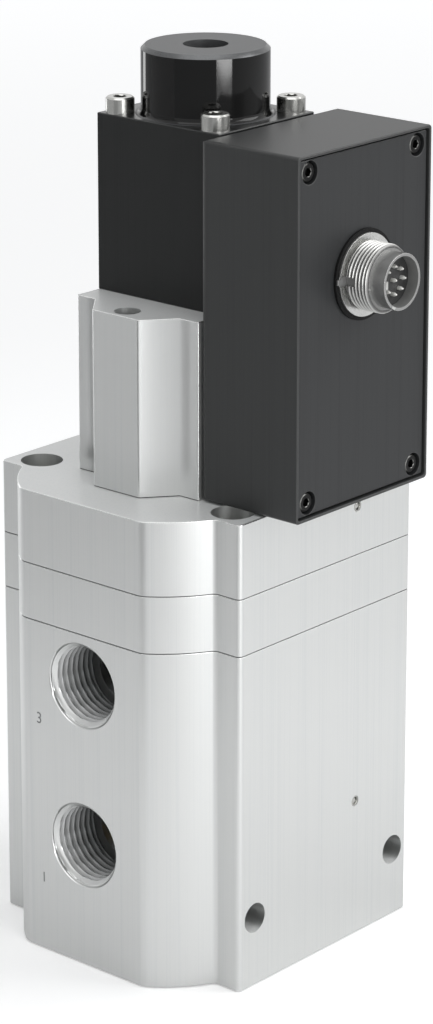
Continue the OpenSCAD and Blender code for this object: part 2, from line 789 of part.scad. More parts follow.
// Turned cap with a hollow foot round its base and a chamfered top edge
module pilot_cap() color(black) difference() {
    union() {
        rod(cap_d, cap_z, cap_z + cap_h - cap_chamfer);
        translate([0, 0, cap_z + cap_h - cap_chamfer])
            cylinder(d1 = cap_d, d2 = cap_d - 2 * cap_chamfer, h = cap_chamfer);
        rod(coil_bore - 2 * fit, cap_z - spigot_h, cap_z + bite);
        rotate_extrude() difference() {
            translate([cap_d / 2 - bite, cap_z]) square([cap_foot + bite, cap_foot]);
            translate([cap_d / 2 + cap_foot, cap_z + cap_foot]) circle(cap_foot - fillet_bite);
        }
    }
    rod(cap_hole_d, cap_z - spigot_h - bite, cap_z + cap_h + bite);
}

module pilot_screws() color(steel) corners(pilot_screw_x / 2, pilot_screw_y / 2)
    translate([0, 0, cap_z])
        socket_screw(pilot_screw_d, pilot_screw_l, pilot_head_d, pilot_head_h, pilot_key);

// Electronics housing

module electronics_housing() color(black) difference() {
    union() {
        difference() {
            house_block();
            frontward(0, ledge_y, 0) linear_extrude(ledge_y - house_front + bite) house_outline(rim_w);
            frontward(0, house_back - house_floor, 0)
                linear_extrude(house_back - house_floor - ledge_y + bite) house_outline(house_wall);
        }
        for (s = [-1, 1], z = cover_screw_zs) frontward(s * cover_screw_x, house_back, z)
            rod(post_d, bite, house_back - ledge_y);
        for (s = [-1, 1], z = standoff_zs) frontward(s * standoff_x, house_back, z)
            rod(standoff_d, bite, house_floor + board_lift);
    }
    for (s = [-1, 1], z = cover_screw_zs) frontward(s * cover_screw_x, ledge_y, z)
        rod(cover_screw_d + 2 * thread_gap, -cover_screw_l, bite);
    for (s = [-1, 1], z = standoff_zs) frontward(s * standoff_x, board_y, z)
        rod(board_screw_d + 2 * thread_gap, -board_screw_l, bite);
    for (s = [-1, 1], z = house_screw_zs) frontward(s * house_screw_x, house_back, z)
        rod(house_screw_d + 2 * hole_gap, -bite, house_floor + bite);
    frontward(0, house_back, sensor_z) rod(sensor_pipe_d + 2 * hole_gap, -bite, house_floor + bite);
}

module housing_screws() color(steel) for (s = [-1, 1], z = house_screw_zs)
    frontward(s * house_screw_x, house_back - house_floor, z)
        socket_screw(house_screw_d, house_screw_l, house_head_d, house_head_h, house_key);

module circuit_board() color([0.08, 0.32, 0.18]) difference() {
    translate([-board_w / 2, board_y - board_t, board_bottom])
        cube([board_w, board_t, board_top - board_bottom]);
    for (s = [-1, 1], z = standoff_zs) frontward(s * standoff_x, board_y, z)
        rod(board_screw_d + 2 * hole_gap, -bite, board_t + bite);
}

module board_screws() color(steel) for (s = [-1, 1], z = standoff_zs)
    frontward(s * standoff_x, board_y - board_t, z)
        socket_screw(board_screw_d, board_screw_l, board_head_d, board_head_h, board_key);

module pressure_sensor() color([0.85, 0.84, 0.80]) frontward(0, board_y, sensor_z) {
    rod(sensor_d, -sensor_h, 0);
    rod(sensor_pipe_d, -board_lift - house_floor - sensor_pipe_l, -sensor_h + bite);
}

module sensor_seal() color(rubber) frontward(0, house_back + sensor_seal_d / 2 + fit, sensor_z)
    o_ring(sensor_pipe_d / 2 + fit + sensor_seal_d / 2, sensor_seal_d);

module cover_gasket() color(rubber) frontward(0, ledge_y, 0) linear_extrude(gasket_t) difference() {
    house_outline(rim_w + cover_gap);
    house_outline(house_wall);
}

module cover_plate() color(black) difference() {
    frontward(0, cover_back, 0) linear_extrude(cover_t) house_outline(rim_w + cover_gap);
    for (s = [-1, 1], z = cover_screw_zs) frontward(s * cover_screw_x, cover_front, z) {
        rod(cover_sink_d, -cover_head_h - cover_head_sink, bite);
        rod(cover_screw_d + 2 * hole_gap, -cover_t - bite, 0);
    }
    frontward(0, cover_back, connector_z) rod(neck_shell_d + 2 * loose, -bite, cover_t + bite);
}

module cover_screws() color([0.2, 0.2, 0.2]) for (s = [-1, 1], z = cover_screw_zs)
    frontward(s * cover_screw_x, cover_front + cover_head_h + cover_head_sink, z)
        socket_screw(cover_screw_d, cover_screw_l, cover_head_d, cover_head_h, cover_key);

// Connector

module connector_gasket() color(rubber) frontward(0, cover_front, connector_z)
    tube(gasket_d, neck_shell_d + 2 * fit, 0, gasket_h);

// Turned shell: rear neck, flange, thread and barrel, with a key inside, a keyway outside and a locating nub
module connector_shell() color(steel) frontward(0, 0, connector_z) {
    difference() {
        union() {
            rod(neck_shell_d, -shell_back, -flange_y + flange_h / 2);
            rod(flange_d, -flange_y, -thread_y);
            rod(thread_root_d, -thread_y - bite / 2, -barrel_y);
            rod(barrel_d, -barrel_y - bite, -tip_y);
        }
        rod(socket_d, -shell_back - bite, -tip_y + bite);
        translate([-flange_d / 2 - bite, -notch_w / 2, -flange_y + notch_web])
            cube([(flange_d - thread_root_d) / 2 + bite + notch_sink, notch_w, notch_l]);
    }
    translate([-socket_d / 2 - key_root, -key_w / 2, -tip_y - insert_depth + fit])
        cube([key_h + key_root, key_w, insert_depth - key_sink]);
    translate([-gasket_d / 2 + nub_edge, -nub_w / 2, -flange_y + fit])
        cube([nub_l, nub_w, nub_h]);
}

module connector_nut() color(steel) frontward(0, cover_back, connector_z) difference() {
    translate([0, 0, -connector_nut_h])
        cylinder(d = connector_nut_w / cos(30), h = connector_nut_h, $fn = 6);
    rod(neck_shell_d + 2 * thread_gap, -connector_nut_h - bite, bite);
}

// The pins' places: a ring with a gap at the key, and one in the middle
pin_places = concat([[0, 0]], [for (i = [-3 : 3]) pin_ring_r * [cos(45 * i), sin(45 * i)]]);

module connector_insert() color([0.16, 0.16, 0.16]) frontward(0, 0, connector_z) difference() {
    rod(socket_d - 2 * fit, -shell_back, -tip_y - insert_depth);
    for (p = pin_places) translate([p.x, p.y, 0])
        rod(pin_d + 2 * pin_gap, -shell_back - bite, -tip_y);
}

module connector_pins() color(steel) frontward(0, 0, connector_z) for (p = pin_places)
    translate([p.x, p.y, 0]) {
        rod(pin_d, -board_y + board_t, -tip_y - pin_tip_depth - pin_taper);
        translate([0, 0, -tip_y - pin_tip_depth - pin_taper])
            cylinder(d1 = pin_d, d2 = pin_d / 2, h = pin_taper);
    }

valve_body();
bottom_plug();
plug_seal();
main_poppet();
poppet_seal();
poppet_spring();
valve_stem();
stem_bush();
stem_seal();
inner_body_seal();
outer_body_seal();
middle_plate();
cylinder_seal();
piston();
piston_seal();
piston_nut();
top_plate();
tie_screws();
expander_plugs();
neck_block();
neck_screws();
pilot_nozzle();
guide_tube();
tube_seal();
armature();
armature_seal();
armature_spring();
pole_piece();
coil_bobbin();
coil_winding();
pilot_block();
pilot_cap();
pilot_screws();
electronics_housing();
housing_screws();
circuit_board();
board_screws();
pressure_sensor();
sensor_seal();
cover_gasket();
cover_plate();
cover_screws();
connector_gasket();
connector_shell();
connector_nut();
connector_insert();
connector_pins();
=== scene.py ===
# %% [markdown]
# # An electro pneumatic pressure regulator
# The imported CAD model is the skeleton: every piece already has its true size and place. This script
# gives each of them the look of the real object. Aluminium shows how it was extruded and milled, black
# parts show how they were anodised, ports and connector get their threads, and edges get the small
# breaks that catch light. Lengths are written in millimetres and turned into metres with MM, because
# Blender's unit here is the metre.

# %% Load the frame
import math

import bmesh
import bpy
from mathutils import Matrix, Vector
from mathutils.bvhtree import BVHTree


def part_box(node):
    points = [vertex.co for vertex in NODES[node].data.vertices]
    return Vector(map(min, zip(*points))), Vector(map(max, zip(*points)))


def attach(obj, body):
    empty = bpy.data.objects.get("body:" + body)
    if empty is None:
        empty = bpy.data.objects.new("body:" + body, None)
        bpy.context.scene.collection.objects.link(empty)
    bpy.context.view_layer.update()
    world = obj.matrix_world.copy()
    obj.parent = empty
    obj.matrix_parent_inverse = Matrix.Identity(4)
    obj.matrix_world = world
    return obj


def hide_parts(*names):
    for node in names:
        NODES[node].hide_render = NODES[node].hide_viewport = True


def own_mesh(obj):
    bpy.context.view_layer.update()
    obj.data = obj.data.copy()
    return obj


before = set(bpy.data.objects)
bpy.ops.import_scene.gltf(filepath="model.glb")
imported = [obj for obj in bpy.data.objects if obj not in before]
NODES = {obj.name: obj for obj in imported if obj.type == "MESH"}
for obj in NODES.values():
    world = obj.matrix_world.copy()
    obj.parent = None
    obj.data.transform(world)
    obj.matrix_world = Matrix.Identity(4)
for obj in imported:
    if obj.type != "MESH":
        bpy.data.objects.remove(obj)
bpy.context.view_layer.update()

MM = 0.001
scene = bpy.context.scene
scene.view_settings.view_transform = "Standard"

# %% [markdown]
# ## Helpers that every step uses
# Colours are written as the sRGB hex values that a screen shows, and shaders want linear light, so one
# function converts them. Node trees, for materials and for geometry alike, grow by adding one node at a
# time. Its settings are attributes. Its inputs come as a row, in the node's own order, or by name or
# number, and each takes a plain value, an output of an earlier node, or that node itself, which stands
# for its first output. A Mix node has a pair of inputs for each kind of data: 2 and 3 mix numbers, 6 and
# 7 mix colours, and the mixed colour leaves by output 2.

# %% Colour and node helpers
MATH, MIX, RANGE = "ShaderNodeMath", "ShaderNodeMix", "ShaderNodeMapRange"
NOISE, BUMP, VECTOR = "ShaderNodeTexNoise", "ShaderNodeBump", "ShaderNodeVectorMath"
PARTS, XYZ = "ShaderNodeSeparateXYZ", "ShaderNodeCombineXYZ"


def srgb(code):
    """Linear colour with alpha for an sRGB hex code."""
    parts = [int(code[i:i + 2], 16) / 255 for i in (1, 3, 5)]
    return (*(p / 12.92 if p <= 0.04045 else ((p + 0.055) / 1.055) ** 2.4 for p in parts), 1.0)


def wire(tree, node, inputs):
    """Gives a node's inputs their values or links."""
    for key, value in inputs.items():
        for one in value if isinstance(value, list) else [value]:
            one = one.outputs[0] if isinstance(one, bpy.types.Node) else one
            if isinstance(one, bpy.types.NodeSocket):
                tree.links.new(one, node.inputs[key])
            else:
                node.inputs[key].default_value = one


def add(tree, kind, inputs=(), **settings):
    """Adds a node to a tree, with its settings and inputs."""
    made = tree.nodes.new(kind)
    for name, value in settings.items():
        setattr(made, name, value)
    wire(tree, made, inputs if isinstance(inputs, dict) else dict(enumerate(inputs)))
    return made


print("a mid grey of #808080 is", round(srgb("#808080")[0], 3), "in linear light")

# %% [markdown]
# ## Camera
# The regulator is seen from its front left and from a little above. A product photographer keeps upright
# edges nearly upright with a shift lens, so the camera takes a small part of its tilt as lens shift. The
# focal length is given in pixels of the 433 x 1024 frame, and the sensor's 36 mm lie along the frame's
# long side.

# %% Camera
FRAME_TALL = 1024
SENSOR = 36
FOCAL_PIXELS = 3462.9
LENS_SHIFT = -0.25
CAMERA_PLACE = Vector((-614.7, -539.4, 378.2)) * MM
CAMERA_YAW, CAMERA_PITCH = math.radians(48.916), math.radians(14.223)

lens = bpy.data.cameras.new("photo_camera")
lens.sensor_width = SENSOR
lens.lens = FOCAL_PIXELS * SENSOR / FRAME_TALL
lens.shift_y = LENS_SHIFT
lens.clip_start, lens.clip_end = 0.01, 30
camera = bpy.data.objects.new("photo_camera", lens)
scene.collection.objects.link(camera)
level = math.cos(CAMERA_PITCH)
look = Vector((math.sin(CAMERA_YAW) * level, math.cos(CAMERA_YAW) * level, -math.sin(CAMERA_PITCH)))
camera.location = CAMERA_PLACE
camera.rotation_euler = look.to_track_quat("-Z", "Y").to_euler()
scene.camera = camera
print("camera:", round(lens.lens, 1), "mm lens")

# %% [markdown]
# ## Floor
# The floor is a white sheet. It is lifted towards pure white only for rays that look at it, straight or by
# way of a shiny surface, so that it throws no extra light on the object and still shows the soft shadow.
# A straight look sees it lifted more with distance. A mirrored look sees only a ring round the object
# lifted, for the low flanks of the metal to mirror. Seen from below the sheet is clear, so that the
# underside can be looked at.

# %% Floor
def looking(tree):
    """1 for a ray that shows the background to the eye: from the camera, off gloss or through glass."""
    path = add(tree, "ShaderNodeLightPath").outputs
    both = add(tree, MATH, (path["Is Camera Ray"], path["Is Glossy Ray"]), operation="MAXIMUM")
    return add(tree, MATH, (both, path["Is Transmission Ray"]), operation="MAXIMUM")


def stage_sheet(name, corners, material):
    """A flat sheet that belongs to the stage and not to the object."""
    mesh = bpy.data.meshes.new(name)
    mesh.from_pydata(corners, [], [(0, 1, 2, 3)])
    mesh.materials.append(material)
    sheet = bpy.data.objects.new(name, mesh)
    scene.collection.objects.link(sheet)
    return sheet


# metres: half the floor's width, its height, and the radius of the ring that gloss mirrors
FLOOR, FLOOR_Z, GLOW_RING = 8, -0.0003, 0.18
paper = bpy.data.materials.new("white_paper_floor")
paper.use_nodes = True
tree = paper.node_tree
tree.nodes.clear()
# paper scatters light evenly, so it is a plain diffuse white
matt = add(tree, "ShaderNodeBsdfDiffuse", {"Color": srgb("#E6E6E6")})
where = add(tree, "ShaderNodeTexCoord").outputs["Object"]
away = add(tree, VECTOR, (where,), operation="LENGTH").outputs["Value"]
# a straight look adds 0.3 at a quarter of a metre from the object and 0.62 far away
seen_lift = add(tree, RANGE, (away, 0.25, 1.8, 0.3, 0.62), interpolation_type="SMOOTHSTEP")
off_ring = add(tree, MATH, (away, GLOW_RING), operation="SUBTRACT")
off_ring = add(tree, MATH, (off_ring,), operation="ABSOLUTE")
mirror_lift = add(tree, RANGE, (off_ring, 0.0, GLOW_RING, 0.23, 0.0))
straight = add(tree, "ShaderNodeLightPath").outputs["Is Camera Ray"]
lift = add(tree, MIX, {0: straight, 2: mirror_lift, 3: seen_lift})
lift = add(tree, MATH, (looking(tree), lift), operation="MULTIPLY")
glow = add(tree, "ShaderNodeEmission", {"Strength": lift})
lit = add(tree, "ShaderNodeAddShader", (matt, glow))
clear = add(tree, "ShaderNodeBsdfTransparent")
behind = add(tree, "ShaderNodeNewGeometry").outputs["Backfacing"]
seen = add(tree, "ShaderNodeMixShader", (behind, lit, clear))
add(tree, "ShaderNodeOutputMaterial", {"Surface": seen})
stage_sheet("floor", [(x * FLOOR, y * FLOOR, FLOOR_Z) for x, y in ((-1, -1), (1, -1), (1, 1), (-1, 1))],
            paper)
print("floor:", 2 * FLOOR, "m wide")

# %% [markdown]
# ## Cards and lamps
# Metal is made by what it mirrors. A tall grey card and a low dark one at the left, which only gloss sees,
# give the port side its darker tone and the port bores their depth. A large soft box at the right lights
# the front, and a broad one in front the rounded flanks. Two thin ones low in front are what the black cap
# mirrors as a light strip that fades downwards. A small one behind draws the white line down the left
# flank, and one overhead lights the top faces.

# %% Cards, world and lamps
# card: tone, the two compass angles in degrees between which it stands, seen from the object, and height
CARDS = {"grey_card": ("#C4C4C4", 166, 112, 0.45), "dark_card": ("#707070", 200, 168, 0.13)}
CARD_AWAY = 0.34
for name, (tone, start, end, tall) in CARDS.items():
    card = bpy.data.materials.new(name)
    card.use_nodes = True
    surface = card.node_tree.nodes["Principled BSDF"].inputs
    surface["Base Color"].default_value = srgb(tone)
    surface["Roughness"].default_value = 0.9
    angles = [math.radians(a) for a in (start, end)]
    near, far = [(CARD_AWAY * math.cos(a), CARD_AWAY * math.sin(a)) for a in angles]
    flag = stage_sheet(name, [(*near, 0), (*far, 0), (*far, tall), (*near, tall)], card)
    flag.visible_camera = flag.visible_shadow = flag.visible_diffuse = False

world = bpy.data.worlds.new("studio")
scene.world = world
world.use_nodes = True
tree = world.node_tree
tree.nodes.clear()
soft = add(tree, "ShaderNodeBackground", {"Color": srgb("#F4F6F8"), "Strength": 0.5})
white = add(tree, "ShaderNodeBackground", {"Color": srgb("#FFFFFF"), "Strength": 1.0})
mixed = add(tree, "ShaderNodeMixShader", (looking(tree), soft, white))
add(tree, "ShaderNodeOutputWorld", {"Surface": mixed})

# name: place in metres, point it looks at, width and height in metres, watts
LAMPS = {
    "soft_box_right": ((0.62, -0.72, 0.78), (0, 0, 0.10), (0.7, 0.7), 6),
    "strip_box_front": ((-0.23, -0.80, 0.27), (-0.05, 0, 0.27), (0.42, 0.34), 2.1),
    "strip_box_cap": ((-0.23, -0.80, 0.068), (-0.05, 0, 0.068), (0.42, 0.024), 0.58),
    "strip_box_low": ((-0.23, -0.80, 0.041), (-0.05, 0, 0.041), (0.42, 0.02), 0.04),
    "rim_box_left": ((0.05, 0.46, 0.13), (-0.02, 0, 0.1), (0.09, 0.24), 0.2),
    "top_box": ((-0.12, -0.04, 1.2), (0, 0, 0.1), (0.9, 0.9), 3.5),
}
for name, (place, target, size, watts) in LAMPS.items():
    light = bpy.data.lights.new(name, "AREA")
    light.shape = "RECTANGLE"
    light.size, light.size_y = size
    light.energy = watts
    lamp = bpy.data.objects.new(name, light)
    scene.collection.objects.link(lamp)
    lamp.location = place
    lamp.rotation_euler = (Vector(target) - Vector(place)).to_track_quat("-Z", "Y").to_euler()
    lamp.visible_camera = False
print("stage:", len(CARDS), "cards and", len(LAMPS), "lamps")

# %% [markdown]
# ## Finishes
# Every finish begins with how the real surface was made. A small function starts a Principled shader with
# its constant values set on its own sockets. Patterns read Object coordinates, which are metres here, so a
# pattern of one line every 0.3 mm has a scale of about 3300.

# %% Start of a finish
FINISHES = {}


def finish(kind, name, **constants):
    """Starts a finish: its node tree, its shader with constants on its sockets, and its coordinates."""
    material = FINISHES[kind] = bpy.data.materials.new(name)
    material.use_nodes = True
    tree = material.node_tree
    shader = tree.nodes["Principled BSDF"]
    wire(tree, shader, {socket.replace("_", " "): value for socket, value in constants.items()})
    print(kind, "is", name)
    return tree, shader, add(tree, "ShaderNodeTexCoord").outputs


print("one line every 0.3 mm makes", round(1 / (0.3 * MM)), "lines to the metre")

# %% [markdown]
# ### Extruded aluminium, clear anodised
# The body, both plates and the neck are lengths of extruded bar. The die leaves fine lines along the bar,
# which stand upright here, and the sawn ends are milled smooth. To the eye the sides are satin with faint
# upright streaks, and the ends are even and mirror faintly what stands on them. Real die lines are about
# 0.1 mm apart; they are drawn at 0.3 mm and 1.6 mm so that the render can show them.

# %% Extruded aluminium
# lines to the metre across and along the bar, and the grains of the milled ends
FINE_LINES, BROAD_LINES, MILL_GRIT = (3300, 3300, 14), (620, 620, 5), 2400.0


def extruded(kind, name, light, dark, rough, end_rough, streak, glaze=0.0, metal=None, **constants):
    """Bar stock with upright die lines on its sides and milled ends under a clear glaze of oxide."""
    tree, shader, where = finish(kind, name, **constants)
    fine = add(tree, "ShaderNodeMapping", {"Vector": where["Object"], "Scale": FINE_LINES})
    fine = add(tree, NOISE, {"Vector": fine, "Scale": 1.0, "Detail": 2.0, "Roughness": 0.6})
    broad = add(tree, "ShaderNodeMapping", {"Vector": where["Object"], "Scale": BROAD_LINES})
    broad = add(tree, NOISE, {"Vector": broad, "Scale": 1.0, "Detail": 3.0})
    lines = add(tree, MIX, {0: 0.45, 2: fine, 3: broad})
    facing = add(tree, PARTS, (where["Normal"],)).outputs["Z"]
    level = add(tree, MATH, (facing,), operation="ABSOLUTE")
    end = add(tree, RANGE, (level, 0.75, 0.95))
    grit = add(tree, NOISE, {"Vector": where["Object"], "Scale": MILL_GRIT, "Detail": 2.0})
    grain = add(tree, MIX, {0: end, 2: lines, 3: grit})
    spread = add(tree, RANGE, (grain, 0.48, 0.76))
    tone = add(tree, MIX, {0: spread, 6: srgb(light), 7: srgb(dark)}, data_type="RGBA")
    side_rough = add(tree, RANGE, (spread, 0.0, 1.0, rough - 0.01, rough + 0.08))
    roughness = add(tree, MIX, {0: end, 2: side_rough, 3: end_rough})
    calm = add(tree, RANGE, (end, 0.0, 1.0, streak, streak * 0.12))
    relief = add(tree, BUMP, {"Height": spread, "Strength": calm, "Distance": 0.01 * MM})
    wire(tree, shader, {"Base Color": tone.outputs[2], "Roughness": roughness, "Normal": relief})
    if glaze:
        wire(tree, shader, {"Coat Weight": add(tree, MATH, (end, glaze), operation="MULTIPLY")})
    if metal:
        wire(tree, shader, {"Metallic": add(tree, RANGE, (end, 0.0, 1.0, *metal))})


# body and plates: satin, faintly streaked, with even pale ends
extruded("extruded", "aluminium_extruded_clear_anodised", "#D9DAD9", "#D2D4D4", 0.36, 0.5, 0.13,
         0.2, (1.0, 0.12), Coat_Roughness=0.12)
# neck: the same bar milled all over, so its streaks are nearly gone
extruded("milled", "aluminium_milled_clear_anodised", "#D6D7D6", "#D0D2D2", 0.34, 0.5, 0.03,
         0.2, (0.75, 0.12), Coat_Roughness=0.12)
# broken edges: bare bright metal, a thin light line
extruded("broken_edge", "aluminium_edge_filed", "#E2E3E2", "#D8DADA", 0.28, 0.28, 0.1, Metallic=1.0)
# edges above a seam: painted shade of the seam, a thin dark line
extruded("seam_edge", "aluminium_edge_in_seam", "#3E4041", "#303233", 0.55, 0.5, 0.2, Metallic=1.0)

# %% [markdown]
# ### Bored and tapped aluminium
# Inside the ports the tap has torn the metal a little, so the turns are satin, with fine rings round the
# bore's axis, which runs along X, and they are painted darker with depth as painted shade in the bore. The
# countersink at the mouth was cut clean, so it is a brighter and smoother ring. The rings are 0.12 mm apart
# on the real part and drawn at 0.25 mm.

# %% Tapped aluminium
# millimetres from the middle plane: the last turn and the first, over which the painted shade fades out,
# and where the finish changes to the cone's
LAST_TURN, FIRST_TURN, CONE_FROM, CONE_TO = 33, 43, 43.8, 44.0
tree, shader, where = finish("tapped", "aluminium_tapped", Metallic=1.0)
rings = add(tree, "ShaderNodeMapping", {"Vector": where["Object"], "Scale": (4000, 60, 60)})
rings = add(tree, NOISE, {"Vector": rings, "Scale": 1.0, "Detail": 2.0})
out = add(tree, MATH, (add(tree, PARTS, (where["Object"],)).outputs["X"],), operation="ABSOLUTE")
near = add(tree, RANGE, (out, LAST_TURN * MM, FIRST_TURN * MM))
cone = add(tree, RANGE, (out, CONE_FROM * MM, CONE_TO * MM))
# painted shade: the turns are dark at the last turn and light at the first
turns = add(tree, MIX, {0: near, 6: srgb("#7A7C7C"), 7: srgb("#D6D7D7")}, data_type="RGBA")
tone = add(tree, MIX, {0: cone, 6: turns.outputs[2], 7: srgb("#DEDFDE")}, data_type="RGBA")
torn = add(tree, RANGE, (rings, 0.0, 1.0, 0.44, 0.56))
rough = add(tree, MIX, {0: cone, 2: torn, 3: 0.34})
relief = add(tree, BUMP, {"Height": rings, "Strength": 0.15, "Distance": 0.02 * MM})
wire(tree, shader, {"Base Color": tone.outputs[2], "Roughness": rough, "Normal": relief})

# %% [markdown]
# ### Black anodised aluminium
# The pilot block and the housing are black anodised: the oxide layer is a thin dark glass over metal,
# satin, and nearly black except where it is seen at a low angle. The housing's cover was brushed first, so
# it shows upright brush lines. Edges are a little lighter, because the layer wears there.

# %% Black anodised pieces
# pilot block: deep black sides, a top that mirrors the cap and the screws
extruded("black_block", "aluminium_black_anodised_block", "#1B1C1C", "#151616", 0.4, 0.36, 0.35,
         0.4, Specular_IOR_Level=0.3, Coat_Roughness=0.15)
# housing: dark grey and even
extruded("black_box", "aluminium_black_anodised_box", "#303131", "#2A2B2B", 0.46, 0.44, 0.15,
         Specular_IOR_Level=0.42)
# cover: dark grey with brush lines that catch the light
extruded("black_cover", "aluminium_black_anodised_brushed", "#28292A", "#1F2021", 0.42, 0.42,
         0.9, Specular_IOR_Level=0.33)
# worn edges: a thin line a shade lighter than the faces
extruded("black_edge", "aluminium_black_anodised_worn_edge", "#383939", "#2E2F2F", 0.44, 0.44,
         0.2, Specular_IOR_Level=0.42)

# %% [markdown]
# ### Turned and polished black cap
# The cap over the coil was turned on a lathe and dyed black. Its side is glossy and mirrors the lamps as
# upright strips; its top face keeps the rings of the facing cut, about 0.2 mm apart, and so looks matt, and
# it is painted greyer than the side, as painted light from above.

# %% Black cap
RINGS_TO_METRE = 5200.0
tree, shader, where = finish("black_cap", "aluminium_turned_black", Specular_IOR_Level=0.26)
part = add(tree, PARTS, (where["Object"],)).outputs
flat = add(tree, XYZ, (part["X"], part["Y"]))
radius = add(tree, VECTOR, (flat,), operation="LENGTH").outputs["Value"]
facing = add(tree, PARTS, (where["Normal"],)).outputs["Z"]
top = add(tree, RANGE, (facing, 0.85, 0.97))
along = add(tree, MIX, {0: top, 2: part["Z"], 3: radius})
cut = add(tree, MATH, (along, RINGS_TO_METRE), operation="MULTIPLY")
rings = add(tree, NOISE, {"W": cut, "Scale": 1.0, "Detail": 2.0}, noise_dimensions="1D")
# painted light: the top is painted a much lighter grey than the side, for the light from above
tone = add(tree, MIX, {0: top, 6: srgb("#121212"), 7: srgb("#4C4D4E")}, data_type="RGBA")
rough_top = add(tree, RANGE, (rings, 0.0, 1.0, 0.34, 0.5))
rough = add(tree, MIX, {0: top, 2: 0.06, 3: rough_top})
depth = add(tree, RANGE, (top, 0.0, 1.0, 0.03, 0.3))
relief = add(tree, BUMP, {"Height": rings, "Strength": depth, "Distance": 0.02 * MM})
wire(tree, shader, {"Base Color": tone.outputs[2], "Roughness": rough, "Normal": relief})

# %% [markdown]
# ### Plated and plain metals
# Screws are zinc plated or blackened steel, the connector is nickel plated brass, valve parts are brass
# and the coil is enamelled copper wire. Each is a metal shader whose tone and gloss wander a little, as
# plating does: one soft noise a few millimetres wide, and a fine one for the grain of the metal below.

# %% Plated metals
CLOUDS_TO_METRE = 420.0


def plated(kind, name, light, dark, rough, grain_mm, relief_mm, **constants):
    """Metal with softly wandering tone and a fine grain."""
    tree, shader, where = finish(kind, name, **constants)
    cloud = add(tree, NOISE, {"Vector": where["Object"], "Scale": CLOUDS_TO_METRE, "Detail": 2.0})
    grain = add(tree, NOISE, {"Vector": where["Object"], "Scale": 1 / (grain_mm * MM), "Detail": 2.0})
    tone = add(tree, MIX, {0: cloud, 6: srgb(light), 7: srgb(dark)}, data_type="RGBA")
    roughness = add(tree, RANGE, (grain, 0.25, 0.75, rough * 0.8, rough * 1.2))
    relief = add(tree, BUMP, {"Height": grain, "Strength": 0.3, "Distance": relief_mm * MM})
    wire(tree, shader, {"Base Color": tone.outputs[2], "Roughness": roughness, "Normal": relief})


# finish: name, light and dark tone, roughness, size of grain and height of relief in mm, metallic
METALS = {
    # bright, with small hard highlights
    "steel": ("steel_zinc_plated", "#BBBBB8", "#B1B1AE", 0.24, 0.25, 0.0005, 1.0),
    # nearly black, with a dull gleam
    "black_steel": ("steel_blackened", "#262626", "#1B1B1B", 0.34, 0.2, 0.004, 0.85),
    # the slopes of a black screw's head, painted grey rings as painted glints
    "worn_rim": ("steel_blackened_worn_rim", "#7E7E7C", "#6C6C6A", 0.34, 0.2, 0.002, 1.0),
    # the cap's sloping rim, painted grey as a painted highlight round its top
    "black_rim": ("aluminium_turned_black_rim", "#606162", "#505152", 0.3, 0.2, 0.001, 0.8),
    # the cap's hole, painted greyer than its side as painted light on its wall
    "black_bore": ("aluminium_bored_black", "#6C6D6E", "#5A5B5C", 0.3, 0.2, 0.002, 0.5),
    # the connector's flange and rims, bright and smooth
    "nickel": ("brass_nickel_plated", "#D2D2D0", "#C6C6C4", 0.3, 0.2, 0.001, 1.0),
    # its barrel, softer and greyer
    "satin_nickel": ("brass_nickel_plated_satin", "#BEBEBD", "#B2B2B1", 0.38, 0.2, 0.001, 1.0),
    # the inside of the barrel, dull plating, and the keyway and the flange's notch, painted shade; matt and
    # dark
    "dull_nickel": ("brass_nickel_plated_dull", "#989897", "#8A8A89", 0.5, 0.2, 0.001, 0.6),
    # the port numbers, matt and darker than the face round them
    "engraved": ("aluminium_engraved", "#A6A8A8", "#8E9090", 0.5, 0.2, 0.004, 1.0),
    # contact pins, pale with a soft sheen
    "contact": ("brass_silver_plated", "#F0F0EC", "#DEDEDA", 0.5, 0.2, 0.008, 0.8),
    # valve parts, warm yellow and glossy
    "brass": ("brass_turned", "#D9B566", "#C39C4C", 0.28, 0.2, 0.01, 1.0),
}
for kind, (*values, metallic) in METALS.items():
    plated(kind, *values, Metallic=metallic)
# wound wire: copper red under clear lacquer
plated("copper", "copper_enamelled_wire", "#B8683A", "#96502A", 0.3, 0.5, 0.05, Metallic=1.0,
       Coat_Weight=0.6)

# %% [markdown]
# ### Rubber, moulded plastics and the circuit board
# Seals and gaskets are matt nitrile rubber. The connector's insert is a glass filled plastic with a fine
# spark eroded grain. The circuit board is green solder mask, with copper tracks that show as slightly
# paler lines.

# %% Rubber and plastics
# rubber: black and matt
plated("rubber", "nitrile_rubber_moulded", "#101010", "#090909", 0.7, 0.4, 0.03, Specular_IOR_Level=0.2)
# insert: dark grey, with a soft even sheen
plated("plastic", "plastic_black_glass_filled", "#2B2B2B", "#202020", 0.48, 0.3, 0.02)
# sensor: cream, with the same sheen
plated("ivory", "plastic_ivory_moulded", "#E2DED2", "#D2CEC2", 0.45, 0.3, 0.02)
# board: green lacquer over tracks that lie about 4.5 mm apart
tree, shader, where = finish("board", "circuit_board_solder_mask", Roughness=0.4, Coat_Weight=0.3)
tracks = add(tree, "ShaderNodeTexBrick", {"Vector": where["Object"], "Scale": 220.0, "Mortar Size": 0.03,
                                          "Color1": srgb("#0F4A2A"), "Color2": srgb("#12552F"),
                                          "Mortar": srgb("#2C7A4C")})
wire(tree, shader, {"Base Color": tracks})
print("finishes:", len(FINISHES))

# %% [markdown]
# ## Which finish each CAD node wears
# Nodes that keep their CAD mesh get their finish in their own material slot. Most of the visible ones are
# replaced further down by pieces with broken edges, threads and sockets.

